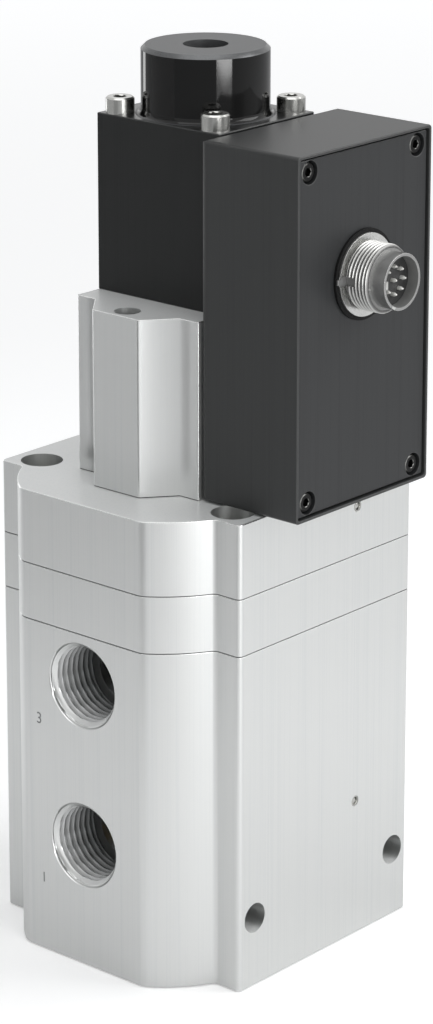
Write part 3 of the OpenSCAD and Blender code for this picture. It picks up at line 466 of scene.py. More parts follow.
# %% Dress the CAD nodes
WEARS = {
    "extruded": ["valve_body", "middle_plate", "top_plate", "neck_block", "piston"],
    "black_block": ["pilot_block", "coil_bobbin"],
    "black_box": ["electronics_housing"],
    "black_cover": ["cover_plate"],
    "black_cap": ["pilot_cap"],
    "steel": ["bottom_plug", "poppet_spring", "valve_stem", "piston_nut", "tie_screws", "expander_plugs",
              "neck_screws", "guide_tube", "armature", "armature_spring", "pole_piece", "pilot_screws",
              "housing_screws", "board_screws"],
    "black_steel": ["cover_screws"],
    "nickel": ["connector_shell", "connector_nut", "connector_pins"],
    "brass": ["main_poppet", "stem_bush", "pilot_nozzle"],
    "copper": ["coil_winding"],
    "rubber": ["plug_seal", "poppet_seal", "stem_seal", "inner_body_seal", "outer_body_seal",
               "cylinder_seal", "piston_seal", "tube_seal", "armature_seal", "sensor_seal",
               "cover_gasket", "connector_gasket"],
    "plastic": ["connector_insert"],
    "ivory": ["pressure_sensor"],
    "board": ["circuit_board"],
}
for kind, names in WEARS.items():
    for name in names:
        slots = NODES[name].data.materials
        if not len(slots):
            slots.append(None)
        for i in range(len(slots)):
            slots[i] = FINISHES[kind]
dressed = {n for names in WEARS.values() for n in names}
print("dressed", len(dressed), "of", len(NODES), "nodes; left:", sorted(set(NODES) - dressed))

# %% [markdown]
# ## Copies with broken edges
# No edge on a machined part is perfectly sharp: a file or a deburring tool takes off a tenth or two of a
# millimetre, and that narrow facet is what catches the light. The CAD mesh comes as loose triangles, so a
# copy is welded, its flat faces are joined, and its convex edges are bevelled. A bevel that looks out for
# overlaps makes every edge as narrow as the tightest one allows, and deep inside a piece there are very
# tight ones. So on most pieces only the edges that can be seen from outside are broken. The facets may
# wear a finish of their own. Weighted normals keep big faces flat and let the facets shade softly.

# %% Broken edges
SHARP, SMOOTH = math.radians(25), math.radians(22)


def welded(node):
    """A copy of a CAD node's mesh, with its points merged and its flat faces joined."""
    shape = bmesh.new()
    shape.from_mesh(NODES[node].data)
    bmesh.ops.remove_doubles(shape, verts=shape.verts, dist=0.002 * MM)
    bmesh.ops.dissolve_limit(shape, angle_limit=math.radians(0.4), verts=shape.verts, edges=shape.edges)
    return shape


def break_edges(shape, width, material_index, keep=None, segments=2):
    """Bevels the convex sharp edges that keep() accepts, or all, and then only as wide as all allow."""
    sharp = [e for e in shape.edges if e.is_manifold and e.is_convex
             and e.calc_face_angle() > SHARP and (keep is None or keep(e))]
    bmesh.ops.bevel(shape, geom=sharp, offset=width * MM, offset_type="OFFSET", segments=segments,
                    profile=0.5, affect="EDGES", clamp_overlap=keep is None, material=material_index)


def outside(shape):
    """A test for edges beside an upright face from which a look straight out meets nothing of the piece."""
    shape.normal_update()
    walls = BVHTree.FromBMesh(shape)

    def free(edge, face):
        # the look starts a tenth of a millimetre from the edge, and just clear of the face
        middle = (edge.verts[0].co + edge.verts[1].co) / 2
        way = Vector((face.normal.x, face.normal.y, 0)).normalized()
        inward = (face.calc_center_median() - middle).normalized()
        start = middle + inward * 0.1 * MM + way * 0.02 * MM
        return walls.ray_cast(start, way)[0] is None

    return lambda edge: any(abs(face.normal.z) < 0.5 and free(edge, face) for face in edge.link_faces)


def settle(shape, name, *kinds):
    """Turns a shape into a smoothly shaded object in these finishes, with its sharp edges kept."""
    mesh = bpy.data.meshes.new(name)
    for kind in kinds:
        mesh.materials.append(FINISHES[kind])
    shape.to_mesh(mesh)
    shape.free()
    for face in mesh.polygons:
        face.use_smooth = True
    mesh.set_sharp_from_angle(angle=SMOOTH)
    piece = bpy.data.objects.new(name, mesh)
    scene.collection.objects.link(piece)
    return piece


def as_seen(thing):
    """A plain mesh of an object as its modifiers leave it."""
    graph = bpy.context.evaluated_depsgraph_get()
    return bpy.data.meshes.new_from_object(thing.evaluated_get(graph), preserve_all_data_layers=True,
                                           depsgraph=graph)


def made_plain(piece):
    """Applies a piece's modifiers, so that its mesh is what is seen."""
    mesh = as_seen(piece)
    piece.modifiers.clear()
    piece.data = mesh
    return piece


def place_piece(piece, slot, *stands_for):
    """Lets a finished piece ride on the regulator, in place of the CAD nodes that it stands for."""
    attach(piece, "regulator")
    if stands_for:
        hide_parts(*stands_for)
    print(f"{piece.name}: {len(piece.data.polygons)} faces")
    return piece


def even(piece):
    """Gives a piece normals that keep its large faces flat."""
    piece.modifiers.new("even", "WEIGHTED_NORMAL").keep_sharp = True
    return made_plain(piece)


# %% [markdown]
# ## The valve stack
# Body, middle plate and top plate are sawn from one extruded bar, so their sides line up. Where two of
# them meet, the edge breaks make a narrow seam: its upper side is painted dark as painted shade of the
# seam, and its lower side catches light, as do the top rims and the upright corners of the neck. A rim is
# broken less than the corners that it meets are rounded, because a wider break would fold over there.

# %% Plates and neck
def flat_at(*levels):
    """Accepts edges that lie flat at one of these heights in millimetres."""
    return lambda edge: all(min(abs(v.co.z / MM - z) for z in levels) < 0.02 for v in edge.verts)


def upright(edge):
    """Accepts edges that stand upright, but not the short facets of a round hole's mouth."""
    along = edge.verts[0].co - edge.verts[1].co
    return abs(along.z) > max(0.99 * along.length, 5 * MM)


def blunt(edge):
    """Accepts the upright edges between a port flat and its curved flanks, which the die leaves rounded."""
    return upright(edge) and edge.calc_face_angle() < math.radians(45)


# widths in millimetres, and the steps in a rounding
BLUNT, BAR_CORNER, SEAM_BREAK, BODY_BREAK = 1.2, 0.9, 0.22, 0.18
ROUNDED = 4
BROKEN = ("broken_edge", "seam_edge")
# node: name, finish, width of the rounded corners and of the broken rims in millimetres
STACK = {
    "middle_plate": ("plate_between", "extruded", BAR_CORNER, 0.16),
    "top_plate": ("plate_on_top", "extruded", BAR_CORNER, 0.24),
    "neck_block": ("neck", "milled", 0.4, 0.2),
}
for node, (name, kind, corner, rim) in STACK.items():
    foot = flat_at(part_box(node)[0].z / MM)
    shape = welded(node)
    if kind == "extruded":
        break_edges(shape, BLUNT, 0, blunt, ROUNDED)
    break_edges(shape, corner, int(kind == "milled"), upright, ROUNDED)
    outer = outside(shape)
    # the outer edges at a piece's foot wear the painted seam shade
    break_edges(shape, SEAM_BREAK, 2, lambda edge: foot(edge) and outer(edge))
    break_edges(shape, rim, 1, lambda edge: not foot(edge) and not upright(edge) and outer(edge))
    place_piece(even(settle(shape, name, kind, *BROKEN)), "brushed_aluminium", node)

# %% [markdown]
# ## The body and its port numbers
# A plain number beside each port tells what it is for: 1 is the supply, 2 the outlet and 3 the exhaust.
# Each is a text that is made a mesh, set into the port face and cut away, so that the figures are real
# grooves.

# %% Body with engraved port numbers
# number: place on the port face in millimetres (Y, Z), side of the body, height of the figure
NUMBERS = {"3": (14.4, 60.6, -1, 2.9), "1": (13.4, 18.9, -1, 2.6), "2": (14.4, 40.0, 1, 2.9)}
# millimetres from the middle to a port face, how deep a figure goes, and its share of its text's size
PORT_FACE, ENGRAVED, FIGURE_SHARE = 45.5, 0.16, 0.7

joined = bmesh.new()
for text, (y, z, side, height) in NUMBERS.items():
    figure = bpy.data.curves.new("number_" + text, "FONT")
    figure.body = text
    figure.align_x, figure.align_y = "CENTER", "CENTER"
    figure.size = height / FIGURE_SHARE * MM
    figure.extrude = ENGRAVED * MM
    drawn = bpy.data.objects.new("number_" + text, figure)
    scene.collection.objects.link(drawn)
    mesh = as_seen(drawn)
    bpy.data.objects.remove(drawn)
    turn = Matrix(((0, 0, side), (side, 0, 0), (0, 1, 0))).to_4x4()
    mesh.transform(Matrix.Translation(Vector((side * PORT_FACE, y, z)) * MM) @ turn)
    joined.from_mesh(mesh)
bmesh.ops.remove_doubles(joined, verts=joined.verts, dist=0.001 * MM)
bmesh.ops.recalc_face_normals(joined, faces=joined.faces)


def cut_away(piece, shape, name, kind):
    """Cuts a closed shape out of a piece; the cut faces keep the shape's finish."""
    mesh = bpy.data.meshes.new(name)
    mesh.materials.append(FINISHES[kind])
    shape.to_mesh(mesh)
    shape.free()
    cutter = bpy.data.objects.new(name, mesh)
    scene.collection.objects.link(cutter)
    cut = piece.modifiers.new("cut", "BOOLEAN")
    cut.operation, cut.solver, cut.object = "DIFFERENCE", "EXACT", cutter
    cut.material_mode = "TRANSFER"
    before = len(piece.data.polygons)
    made_plain(piece)
    bpy.data.objects.remove(cutter)
    print(name, "cut:", len(piece.data.polygons) - before, "faces more")


shape = welded("valve_body")
break_edges(shape, BLUNT, 0, blunt, ROUNDED)
break_edges(shape, BAR_CORNER, 0, upright, ROUNDED)
outer = outside(shape)
ends = flat_at(*(corner.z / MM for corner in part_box("valve_body")))
break_edges(shape, BODY_BREAK, 1, lambda edge: ends(edge) and outer(edge))
body = settle(shape, "body", "extruded", *BROKEN)
cut_away(body, joined, "number_cutter", "engraved")
place_piece(even(body), "brushed_aluminium", "valve_body")

# %% [markdown]
# ## Geometry Nodes: a tree, its inputs and its result
# What repeats by a rule is grown by Geometry Nodes. Each tree is made here in the script with named inputs
# for its sizes. A holder object runs it once, and the result is kept as a plain mesh.

# %% Grow a mesh from a tree
def growing(name, **sockets):
    """A new geometry tree with these inputs and one geometry output, and the outputs of its input node."""
    tree = bpy.data.node_groups.new(name, "GeometryNodeTree")
    for socket, kind in sockets.items():
        tree.interface.new_socket(socket.replace("_", " "), in_out="INPUT", socket_type="NodeSocket" + kind)
    tree.interface.new_socket("Geometry", in_out="OUTPUT", socket_type="NodeSocketGeometry")
    return tree, add(tree, "NodeGroupInput").outputs


def close_tree(tree, geometry, material):
    """Ends a tree: instances become real geometry, and it gets its finish."""
    real = add(tree, "GeometryNodeRealizeInstances", (geometry,))
    worn = add(tree, "GeometryNodeSetMaterial", {"Geometry": real, "Material": material})
    add(tree, "NodeGroupOutput", (worn,))
    print(tree.name, "has", len(tree.nodes), "nodes")
    return tree


def grow(tree, name, kind, turn, **values):
    """Runs a tree with this finish and these sizes in millimetres, and puts its result in its place."""
    holder = bpy.data.objects.new(name + "_holder", bpy.data.meshes.new(name + "_holder"))
    scene.collection.objects.link(holder)
    run = holder.modifiers.new("grow", "NODES")
    run.node_group = tree
    for item in tree.interface.items_tree:
        if item.socket_type == "NodeSocketMaterial":
            run[item.identifier] = FINISHES[kind]
        elif item.in_out == "INPUT":
            value = values[item.name.replace(" ", "_")]
            run[item.identifier] = value if item.socket_type == "NodeSocketInt" else value * MM
    mesh = as_seen(holder)
    holder.modifiers.clear()
    bpy.data.objects.remove(holder)
    mesh.transform(turn)
    shape = bmesh.new()
    shape.from_mesh(mesh)
    bmesh.ops.remove_doubles(shape, verts=shape.verts, dist=0.0005 * MM)
    bmesh.ops.recalc_face_normals(shape, faces=shape.faces)
    # a tree puts its finish in a second slot, behind an empty one that settle leaves out
    for face in shape.faces:
        face.material_index = 0
    return settle(shape, name, kind)


# %% [markdown]
# ## Threads
# A thread is one ridge that winds round a cylinder: at depth x and angle a its height depends only on the
# fraction of x / pitch + a / 360. So the thread is a grid whose rows run along the axis and whose columns
# run round it, bent into a sleeve by that rule. A lead cone at the mouth takes the first turn down to
# nothing, as the countersink does. The first and the last two rows close the sleeve against the wall
# behind it. The rule is written as short chains, and a loop makes a Math node of each step.

# %% Thread sleeve tree
tree, size = growing("thread_sleeve", Depth="Float", Pitch="Float", Root="Float", Crest="Float",
                     Wall="Float", Lead_In="Float", Lead_Out="Float", Rows="Int", Columns="Int",
                     Finish="Material")
sheet = add(tree, "GeometryNodeMeshGrid", {"Size X": 1.0, "Size Y": 1.0, "Vertices X": size["Rows"],
                                           "Vertices Y": size["Columns"]})
at = add(tree, PARTS, (add(tree, "GeometryNodeInputPosition"),)).outputs
# chain: its name and start, then steps: what is done, and with what (0 where nothing more is needed)
THREAD_RULE = (
    ("last", "Rows", "SUBTRACT", 1.0),
    ("row", "down", "ADD", 0.5, "MULTIPLY", "last", "ROUND", 0),
    ("angle", "round", "ADD", 0.5, "MULTIPLY", 2 * math.pi),
    # the depth at which a row lies; the last row is back at the mouth
    ("span", "last", "SUBTRACT", 3.0),
    ("not_last", "row", "LESS_THAN", "last"),
    ("depth", "row", "SUBTRACT", 1.0, "DIVIDE", "span", "MAXIMUM", 0.0, "MINIMUM", 1.0,
     "MULTIPLY", "Depth", "MULTIPLY", "not_last"),
    # the wave of the ridge: up and down once in a pitch, with its crest and root cut flat
    ("turns", "depth", "DIVIDE", "Pitch"),
    ("wave", "angle", "DIVIDE", 2 * math.pi, "ADD", "turns", "FRACT", 0, "MULTIPLY", 2.0, "SUBTRACT", 1.0,
     "ABSOLUTE", 0, "MULTIPLY", -1.0, "ADD", 1.0, "SUBTRACT", 0.13, "DIVIDE", 0.74),
    ("lead_in", "depth", "DIVIDE", "Lead In"),
    ("lead", "Depth", "SUBTRACT", "depth", "DIVIDE", "Lead Out", "MINIMUM", "lead_in"),
    ("wave", "wave", "MINIMUM", 1.0, "MINIMUM", "lead", "MAXIMUM", 0.0),
    # the radius: root and ridge, or the wall for the rows that close the sleeve
    ("not_first", "row", "GREATER_THAN", 0.5),
    ("near_end", "last", "SUBTRACT", 1.5),
    ("inner", "row", "LESS_THAN", "near_end", "MULTIPLY", "not_first"),
    ("closing", "inner", "MULTIPLY", -1.0, "ADD", 1.0, "MULTIPLY", "Wall"),
    ("radius", "Crest", "SUBTRACT", "Root", "MULTIPLY", "wave", "ADD", "Root", "MULTIPLY", "inner",
     "ADD", "closing"),
    ("y", "angle", "COSINE", 0, "MULTIPLY", "radius"),
    ("z", "angle", "SINE", 0, "MULTIPLY", "radius"),
)
known = {"down": at["X"], "round": at["Y"], **{socket.name: socket for socket in size}}
for name, start, *steps in THREAD_RULE:
    value = known[start]
    for operation, other in zip(steps[::2], steps[1::2]):
        value = add(tree, MATH, (value, known.get(other, other)), operation=operation)
    known[name] = value
bent = add(tree, XYZ, (known["depth"], known["y"], known["z"]))
sleeve = add(tree, "GeometryNodeSetPosition", {"Geometry": sheet, "Position": bent})
sewn = add(tree, "GeometryNodeMergeByDistance", {"Geometry": sleeve, "Distance": 0.0005 * MM})
thread_tree = close_tree(tree, sewn, size["Finish"])

# %% [markdown]
# The three ports have the half inch pipe thread: 14 turns to the inch, a pitch of 1.814 mm, 20.955 mm
# across its roots and 18.631 mm across its crests. Supply and exhaust open to the left, the outlet to the
# right.

# %% Port threads
# the sleeve starts this far inside the port face, in millimetres; port: side of the body, height
MOUTH = 0.45
PORTS = {"supply": (-1, 31.2), "exhaust": (-1, 72.6), "outlet": (1, 51.9)}
for name, (side, z) in PORTS.items():
    turn = Matrix.Translation(Vector((side * (PORT_FACE - MOUTH), 0, z)) * MM)
    if side > 0:
        turn = turn @ Matrix.Rotation(math.pi, 4, "Z")
    thread = grow(thread_tree, name + "_thread", "tapped", turn, Depth=14.0, Pitch=1.814, Root=10.46,
                  Crest=9.316, Wall=10.47, Lead_In=1.15, Lead_Out=0.6, Rows=112, Columns=97)
    place_piece(thread, "brushed_aluminium")

# %% [markdown]
# ## The pilot valve
# A black block with a turned cap on top, held by four socket head screws. The cap's edges are only just
# broken, the block's a little more. The cap's hole is painted grey as painted light on its wall, and its
# sloping rim lighter as a painted highlight; a face's place and slope tell which it belongs to.

# %% Pilot block and cap
# millimetres: edge breaks, a radius just outside the cap's hole, and how far its rim reaches down
BLOCK_BREAK, FINE_BREAK, CAP_HOLE, CAP_RIM = 0.25, 0.12, 5.8, 3
# the size of a normal's part along an axis: nearly none on a wall, nearly 1 on a flat, between on a slope
WALL, FLAT = 0.3, 0.95
shape = welded("pilot_block")
break_edges(shape, BLOCK_BREAK, 1, outside(shape))
place_piece(even(settle(shape, "pilot_body", "black_block", "black_edge")), "black_anodised", "pilot_block")
shape = welded("pilot_cap")
break_edges(shape, FINE_BREAK, 0)
shape.normal_update()
cap_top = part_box("pilot_cap")[1].z
for face in shape.faces:
    middle = face.calc_center_median()
    # painted light: the hole's wall takes the grey bore finish, the sloping rim the painted highlight
    if abs(face.normal.z) < WALL and math.hypot(middle.x, middle.y) < CAP_HOLE * MM:
        face.material_index = 2
    elif WALL < face.normal.z < FLAT and middle.z > cap_top - CAP_RIM * MM:
        face.material_index = 1
cap = settle(shape, "cap", "black_cap", "black_rim", "black_bore")
place_piece(even(cap), "black_anodised", "pilot_cap")

# %% [markdown]
# ## Socket head screws
# All the visible screws are the same design in several sizes, so one tree makes them: a round head whose
# rim is turned off at 45 degrees, a shank below it and a hexagon cut into it with a small countersink at
# its mouth. Four of them stand at the corners of a rectangle.

# %% Screw tree
tree, size = growing("socket_screws", Spacing_X="Float", Spacing_Y="Float", Head="Float",
                     Height="Float", Key="Float", Rim="Float", Shank="Float", Length="Float",
                     Finish="Material")
SCREW_RULE = (
    ("half", "Head", "DIVIDE", 2.0),
    ("half_height", "Height", "DIVIDE", 2.0),
    # the turning cone: it stands over the head a little at both ends
    ("over", "Rim", "MULTIPLY", 0.3),
    ("flat", "half", "SUBTRACT", "Rim"),
    ("cone_top", "flat", "SUBTRACT", "over"),
    ("cone_foot", "Height", "ADD", "over", "ADD", "flat"),
    ("cone_tall", "over", "MULTIPLY", 2.0, "ADD", "Height"),
    ("cone_z", "over", "MULTIPLY", -1.0),
    # the shank reaches into the head
    ("shank_half", "Shank", "DIVIDE", 2.0),
    ("inside", "Height", "MULTIPLY", 0.3),
    ("shank_long", "Length", "ADD", "inside"),
    ("shank_z", "inside", "SUBTRACT", "Length", "DIVIDE", 2.0),
    # the hexagon's corner radius, and its countersink
    ("corner", "Key", "DIVIDE", 2 * math.cos(math.pi / 6)),
    ("sunk", "Key", "MULTIPLY", 0.12),
    ("mouth_low", "corner", "SUBTRACT", "sunk"),
    ("mouth_top", "corner", "ADD", "sunk"),
    ("mouth_tall", "sunk", "MULTIPLY", 2.0),
    ("mouth_z", "Height", "SUBTRACT", "sunk"),
)
known = {socket.name: socket for socket in size}
for name, start, *steps in SCREW_RULE:
    value = known[start]
    for operation, other in zip(steps[::2], steps[1::2]):
        value = add(tree, MATH, (value, known.get(other, other)), operation=operation)
    known[name] = value


def lifted(geometry, height):
    """Moves a shape along the screw's axis."""
    up = add(tree, XYZ, {"Z": known[height]})
    return add(tree, "GeometryNodeTransform", {"Geometry": geometry, "Translation": up})


ROUND = 56
DRUM, CONE, CUT = "GeometryNodeMeshCylinder", "GeometryNodeMeshCone", "GeometryNodeMeshBoolean"
drum = add(tree, DRUM, {"Vertices": ROUND, "Radius": known["half"], "Depth": size["Height"]})
turned = add(tree, CONE, {"Vertices": ROUND, "Radius Bottom": known["cone_foot"],
                          "Radius Top": known["cone_top"], "Depth": known["cone_tall"]})
head = add(tree, CUT, {"Mesh 2": [lifted(drum, "half_height"), lifted(turned, "cone_z")]},
           operation="INTERSECT", solver="EXACT")
shank = add(tree, DRUM, {"Vertices": ROUND // 2, "Radius": known["shank_half"],
                         "Depth": known["shank_long"]})
whole = add(tree, CUT, {"Mesh 2": [head, lifted(shank, "shank_z")]}, operation="UNION", solver="EXACT")
hexagon = add(tree, DRUM, {"Vertices": 6, "Radius": known["corner"], "Depth": size["Height"]})
mouth = add(tree, CONE, {"Vertices": ROUND, "Radius Bottom": known["mouth_low"],
                         "Radius Top": known["mouth_top"], "Depth": known["mouth_tall"]})
socket = [lifted(hexagon, "Height"), lifted(mouth, "mouth_z")]
drilled = add(tree, CUT, {"Mesh 1": whole, "Mesh 2": socket}, operation="DIFFERENCE", solver="EXACT")
spots = add(tree, "GeometryNodeMeshGrid", {"Size X": size["Spacing X"], "Size Y": size["Spacing Y"],
                                           "Vertices X": 2, "Vertices Y": 2})
four = add(tree, "GeometryNodeInstanceOnPoints", {"Points": spots, "Instance": drilled})
screw_tree = close_tree(tree, four, size["Finish"])

# %% Screws in their places
FACE_FRONT = Matrix.Rotation(math.pi / 2, 4, "X")
# node: head's diameter, height, key and rim, and the shank's diameter, in mm, then finish and slot
SCREWS = {
    "pilot_screws": (7.0, 4.0, 3.0, 0.4, 4.0, "steel", "bright_steel"),
    "tie_screws": (10.0, 6.0, 5.0, 0.5, 6.0, "steel", "bright_steel"),
    "cover_screws": (4.5, 2.5, 2.0, 0.3, 2.5, "black_steel", "black_steel"),
}
for node, (head_d, head_h, key, rim, shank_d, kind, slot) in SCREWS.items():
    low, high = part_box(node)
    middle, reach = (low + high) / 2, (high - low) / MM
    if node == "cover_screws":
        seat = Matrix.Translation((middle.x, low.y + head_h * MM, middle.z)) @ FACE_FRONT
        wide, tall, deep = reach.x, reach.z, reach.y
    else:
        seat = Matrix.Translation((middle.x, middle.y, high.z - head_h * MM))
        wide, tall, deep = reach
    screws = grow(screw_tree, node.replace("screws", "socket_screws"), kind, seat, Head=head_d,
                  Height=head_h, Key=key, Rim=rim, Shank=shank_d, Length=deep - head_h,
                  Spacing_X=wide - head_d, Spacing_Y=tall - head_d)
    if node == "cover_screws":
        screws.data.materials.append(FINISHES["worn_rim"])
        for face in screws.data.polygons:
            # painted glints: each head's sloping faces wear the grey rim finish
            face.material_index = int(WALL < abs(face.normal.y) < FLAT)
    place_piece(screws, slot, node)

# %% [markdown]
# ## The electronics housing
# The box is a cut length of extruded profile, and the brushed cover lies inside its rim with a thin shadow
# gap all round. The box's edges are broken where they lie in its front, top or bottom, the cover's where
# they lie in its front.

# %% Housing and cover
COVER_BREAK, ON_PLANE = 0.16, 0.02
shape = welded("electronics_housing")
low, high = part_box("electronics_housing")
break_edges(shape, BLOCK_BREAK, 1, lambda edge: all(
    min(v.co.y - low.y, v.co.z - low.z, high.z - v.co.z) < ON_PLANE * MM for v in edge.verts))
housing = settle(shape, "housing", "black_box", "black_edge")
place_piece(even(housing), "black_anodised", "electronics_housing")
shape = welded("cover_plate")
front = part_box("cover_plate")[0].y
break_edges(shape, COVER_BREAK, 1, lambda edge: all(v.co.y - front < ON_PLANE * MM for v in edge.verts))
place_piece(even(settle(shape, "cover", "black_cover", "black_edge")), "black_anodised", "cover_plate")

# %% [markdown]
# ## The connector
# A round plug connector: a nickel plated shell with a coupling thread of 1 mm pitch, which a keyway
# interrupts, and eight pins with tapered tips, seven on a circle and one in the middle. The thread's
# crests are painted light as a painted highlight and its roots dark as painted shade, so that every turn
# shows as a light line.

# %% Finish of the coupling thread
CONNECTOR_Z = 174.8
# radii in millimetres where the painted shade of the root ends and the painted highlight of the crest
# begins
ROOT_TO, CREST_FROM = 7.9, 8.25
tree, shader, where = finish("worn_thread", "brass_nickel_plated_thread", Metallic=1.0)
off_axis = add(tree, VECTOR, (where["Object"], (0, 0, CONNECTOR_Z * MM)), operation="SUBTRACT")
off_axis = add(tree, VECTOR, (off_axis, (1, 0, 1)), operation="MULTIPLY")
off_axis = add(tree, VECTOR, (off_axis,), operation="LENGTH").outputs["Value"]
crest = add(tree, RANGE, (off_axis, ROOT_TO * MM, CREST_FROM * MM))
# painted shade in the roots, painted highlight on the crests
tone = add(tree, MIX, {0: crest, 6: srgb("#747473"), 7: srgb("#BEBEBC")}, data_type="RGBA")
rough = add(tree, RANGE, (crest, 0.0, 1.0, 0.5, 0.42))
wire(tree, shader, {"Base Color": tone.outputs[2], "Roughness": rough})

# %% Shell and coupling thread
# millimetres: flange, thread and keyway, the barrel's inside radius, and where the flange's notch lies
FLANGE, THREAD, KEYWAY_WIDE, KEYWAY_LONG = 0.6, 6.3, 2.2, 2.2
BARREL_INSIDE, NOTCH_FROM, NOTCH_TO, NOTCH_HALF = 6.3, -9.9, -7.2, 1.2
shape = welded("connector_shell")
break_edges(shape, FINE_BREAK, 1)
for face in shape.faces:
    middle = face.calc_center_median()
    around = Vector((middle.x, 0, middle.z - CONNECTOR_Z * MM))
    # the flange's notch is painted shade; the barrel's inside is dull plating
    in_notch = NOTCH_FROM * MM < around.x < NOTCH_TO * MM and abs(around.z) < NOTCH_HALF * MM
    if in_notch or (around.length < BARREL_INSIDE * MM and face.normal.dot(around) < 0):
        face.material_index = 2
    elif face.normal.y < -0.9:
        face.material_index = 1
shell = settle(shape, "shell", "satin_nickel", "nickel", "dull_nickel")
place_piece(even(shell), "nickel", "connector_shell")
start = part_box("connector_gasket")[0].y - FLANGE * MM
turn = Matrix.Translation((0, start, CONNECTOR_Z * MM)) @ Matrix.Rotation(-math.pi / 2, 4, "Z")
thread = grow(thread_tree, "coupling_thread", "worn_thread", turn, Depth=THREAD, Pitch=1.0, Root=7.75,
              Crest=8.3, Wall=7.4, Lead_In=0.3, Lead_Out=0.4, Rows=112, Columns=97)
keyway = bmesh.new()
place = Matrix.Translation((-8 * MM, start - KEYWAY_LONG / 2 * MM, CONNECTOR_Z * MM))
bmesh.ops.create_cube(keyway, size=MM,
                      matrix=place @ Matrix.Diagonal((2.0, KEYWAY_LONG + 1.0, KEYWAY_WIDE, 1)))
# the keyway's faces are painted shade
cut_away(thread, keyway, "keyway", "dull_nickel")
place_piece(thread, "nickel")

# %% [markdown]
# A pin is a cylinder whose end cap is raised into a blunt cone: the closer a point lies to the axis, the
# more it is lifted. The pins stand on the corners of an octagon. One corner is taken out, next to the key,
# and a point in the middle is added.

# %% Contact pins
tree, size = growing("contact_pins", Ring="Float", Thick="Float", Length="Float", Taper="Float",
                     Finish="Material")
half = add(tree, MATH, (size["Thick"], 2.0), operation="DIVIDE")
straight = add(tree, MATH, (size["Length"], size["Taper"]), operation="SUBTRACT")
pin = add(tree, DRUM, {"Vertices": 24, "Fill Segments": 6, "Radius": half, "Depth": straight}).outputs
at = add(tree, PARTS, (add(tree, "GeometryNodeInputPosition"),)).outputs
flat = add(tree, XYZ, (at["X"], at["Y"]))
reach = add(tree, VECTOR, (flat,), operation="LENGTH").outputs["Value"]
inside = add(tree, MATH, (reach, half), operation="DIVIDE")
square = add(tree, MATH, (inside, inside), operation="MULTIPLY")
rest = add(tree, MATH, (1.0, square), operation="SUBTRACT", use_clamp=True)
cone = add(tree, MATH, (rest, size["Taper"]), operation="MULTIPLY")
raised = add(tree, XYZ, {"Z": cone})
domed = add(tree, "GeometryNodeSetPosition", {"Geometry": pin["Mesh"], "Selection": pin["Top"],
                                              "Offset": raised})
up = add(tree, MATH, (straight, 2.0), operation="DIVIDE")
up = add(tree, XYZ, {"Z": up})
stood = add(tree, "GeometryNodeTransform", {"Geometry": domed, "Translation": up})
ring = add(tree, "GeometryNodeMeshCircle", {"Vertices": 8, "Radius": size["Ring"]})
limit = add(tree, MATH, (size["Ring"], -0.9), operation="MULTIPLY")
free = add(tree, "FunctionNodeCompare", (at["X"], limit), operation="LESS_THAN")
seven = add(tree, "GeometryNodeDeleteGeometry", {"Geometry": ring, "Selection": free})
centre = add(tree, "GeometryNodeMeshLine", {"Count": 1})
places = add(tree, "GeometryNodeJoinGeometry", {0: [seven, centre]})
eight = add(tree, "GeometryNodeInstanceOnPoints", {"Points": places, "Instance": stood})
pin_tree = close_tree(tree, eight, size["Finish"])

low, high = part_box("connector_pins")
turn = Matrix.Translation((0, high.y, CONNECTOR_Z * MM)) @ FACE_FRONT
pins = grow(pin_tree, "contacts", "contact", turn, Ring=3.4, Thick=1.0, Length=(high.y - low.y) / MM,
            Taper=0.9)
place_piece(pins, "nickel", "connector_pins")

# %% [markdown]
# ## Expander plugs
# Drillings in the body are shut by expander plugs: a ball is pressed into a thin sleeve, which spreads in
# its hole. From outside a flat ring shows, a dark groove, and the ball's bright crown. The shape is one
# profile turned about its axis.

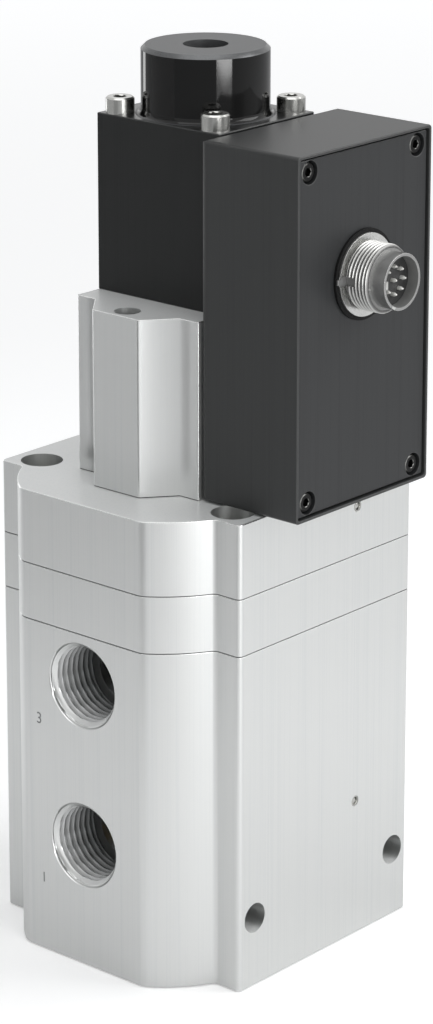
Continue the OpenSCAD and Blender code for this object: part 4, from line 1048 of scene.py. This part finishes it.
# %% Plugs in the front
# a plug's radius, then its profile as radius and height over its face, all in millimetres
PLUG = 1.3
SLEEVE = [(PLUG, -0.1), (1.22, 0.0), (1.0, 0.0), (0.93, -0.55)]
BALL = [(0.9 * math.cos(a), -0.55 + 0.4 * math.sin(a)) for a in [math.pi / 2 * i / 8 for i in range(9)]]
low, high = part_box("expander_plugs")
back = (low.y - high.y) / MM
plugs = bmesh.new()
for z in (low.z + PLUG * MM, high.z - PLUG * MM):
    older = len(plugs.verts)
    points = [plugs.verts.new((r * MM, 0, h * MM)) for r, h in [(0, back), (PLUG, back)] + SLEEVE + BALL]
    lines = [plugs.edges.new(pair) for pair in zip(points, points[1:])]
    bmesh.ops.spin(plugs, geom=points + lines, cent=(0, 0, 0), axis=(0, 0, 1), angle=2 * math.pi, steps=36,
                   use_duplicate=False)
    plugs.verts.ensure_lookup_table()
    place = Matrix.Translation(((low.x + high.x) / 2, low.y, z)) @ FACE_FRONT
    bmesh.ops.transform(plugs, verts=plugs.verts[older:], matrix=place)
bmesh.ops.remove_doubles(plugs, verts=plugs.verts, dist=0.001 * MM)
bmesh.ops.recalc_face_normals(plugs, faces=plugs.faces)
place_piece(settle(plugs, "plugs_in_front", "steel"), "bright_steel", "expander_plugs")

# %% [markdown]
# ## Springs
# Two coil springs inside are pressed together, one when the main poppet opens and one when the armature
# lifts. Each is kept as a piece with a mesh of its own, at the length of its CAD node.

# %% Springs
# node: the joint that presses it, the height of its seated end, and the joint's travel, in millimetres
SPRINGS = {"poppet_spring": ("poppet_slide", 12.05, 2.5), "armature_spring": ("armature_lift", 191.75, 0.8)}
for node, (joint, seat, travel) in SPRINGS.items():
    low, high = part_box(node)
    coil = place_piece(settle(welded(node), node + "_coil", "steel"), "bright_steel", node)
    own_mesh(coil)
    print(f"{node} shortens by {travel} mm of {(high.z - low.z) / MM:.1f} mm")

# %% [markdown]
# ## The underside
# The plug that closes the valve bore is screwed in from below with a pin spanner.

# %% Bottom plug
shape = welded("bottom_plug")
break_edges(shape, BLOCK_BREAK, 0)
place_piece(even(settle(shape, "plug_below", "steel")), "bright_steel", "bottom_plug")
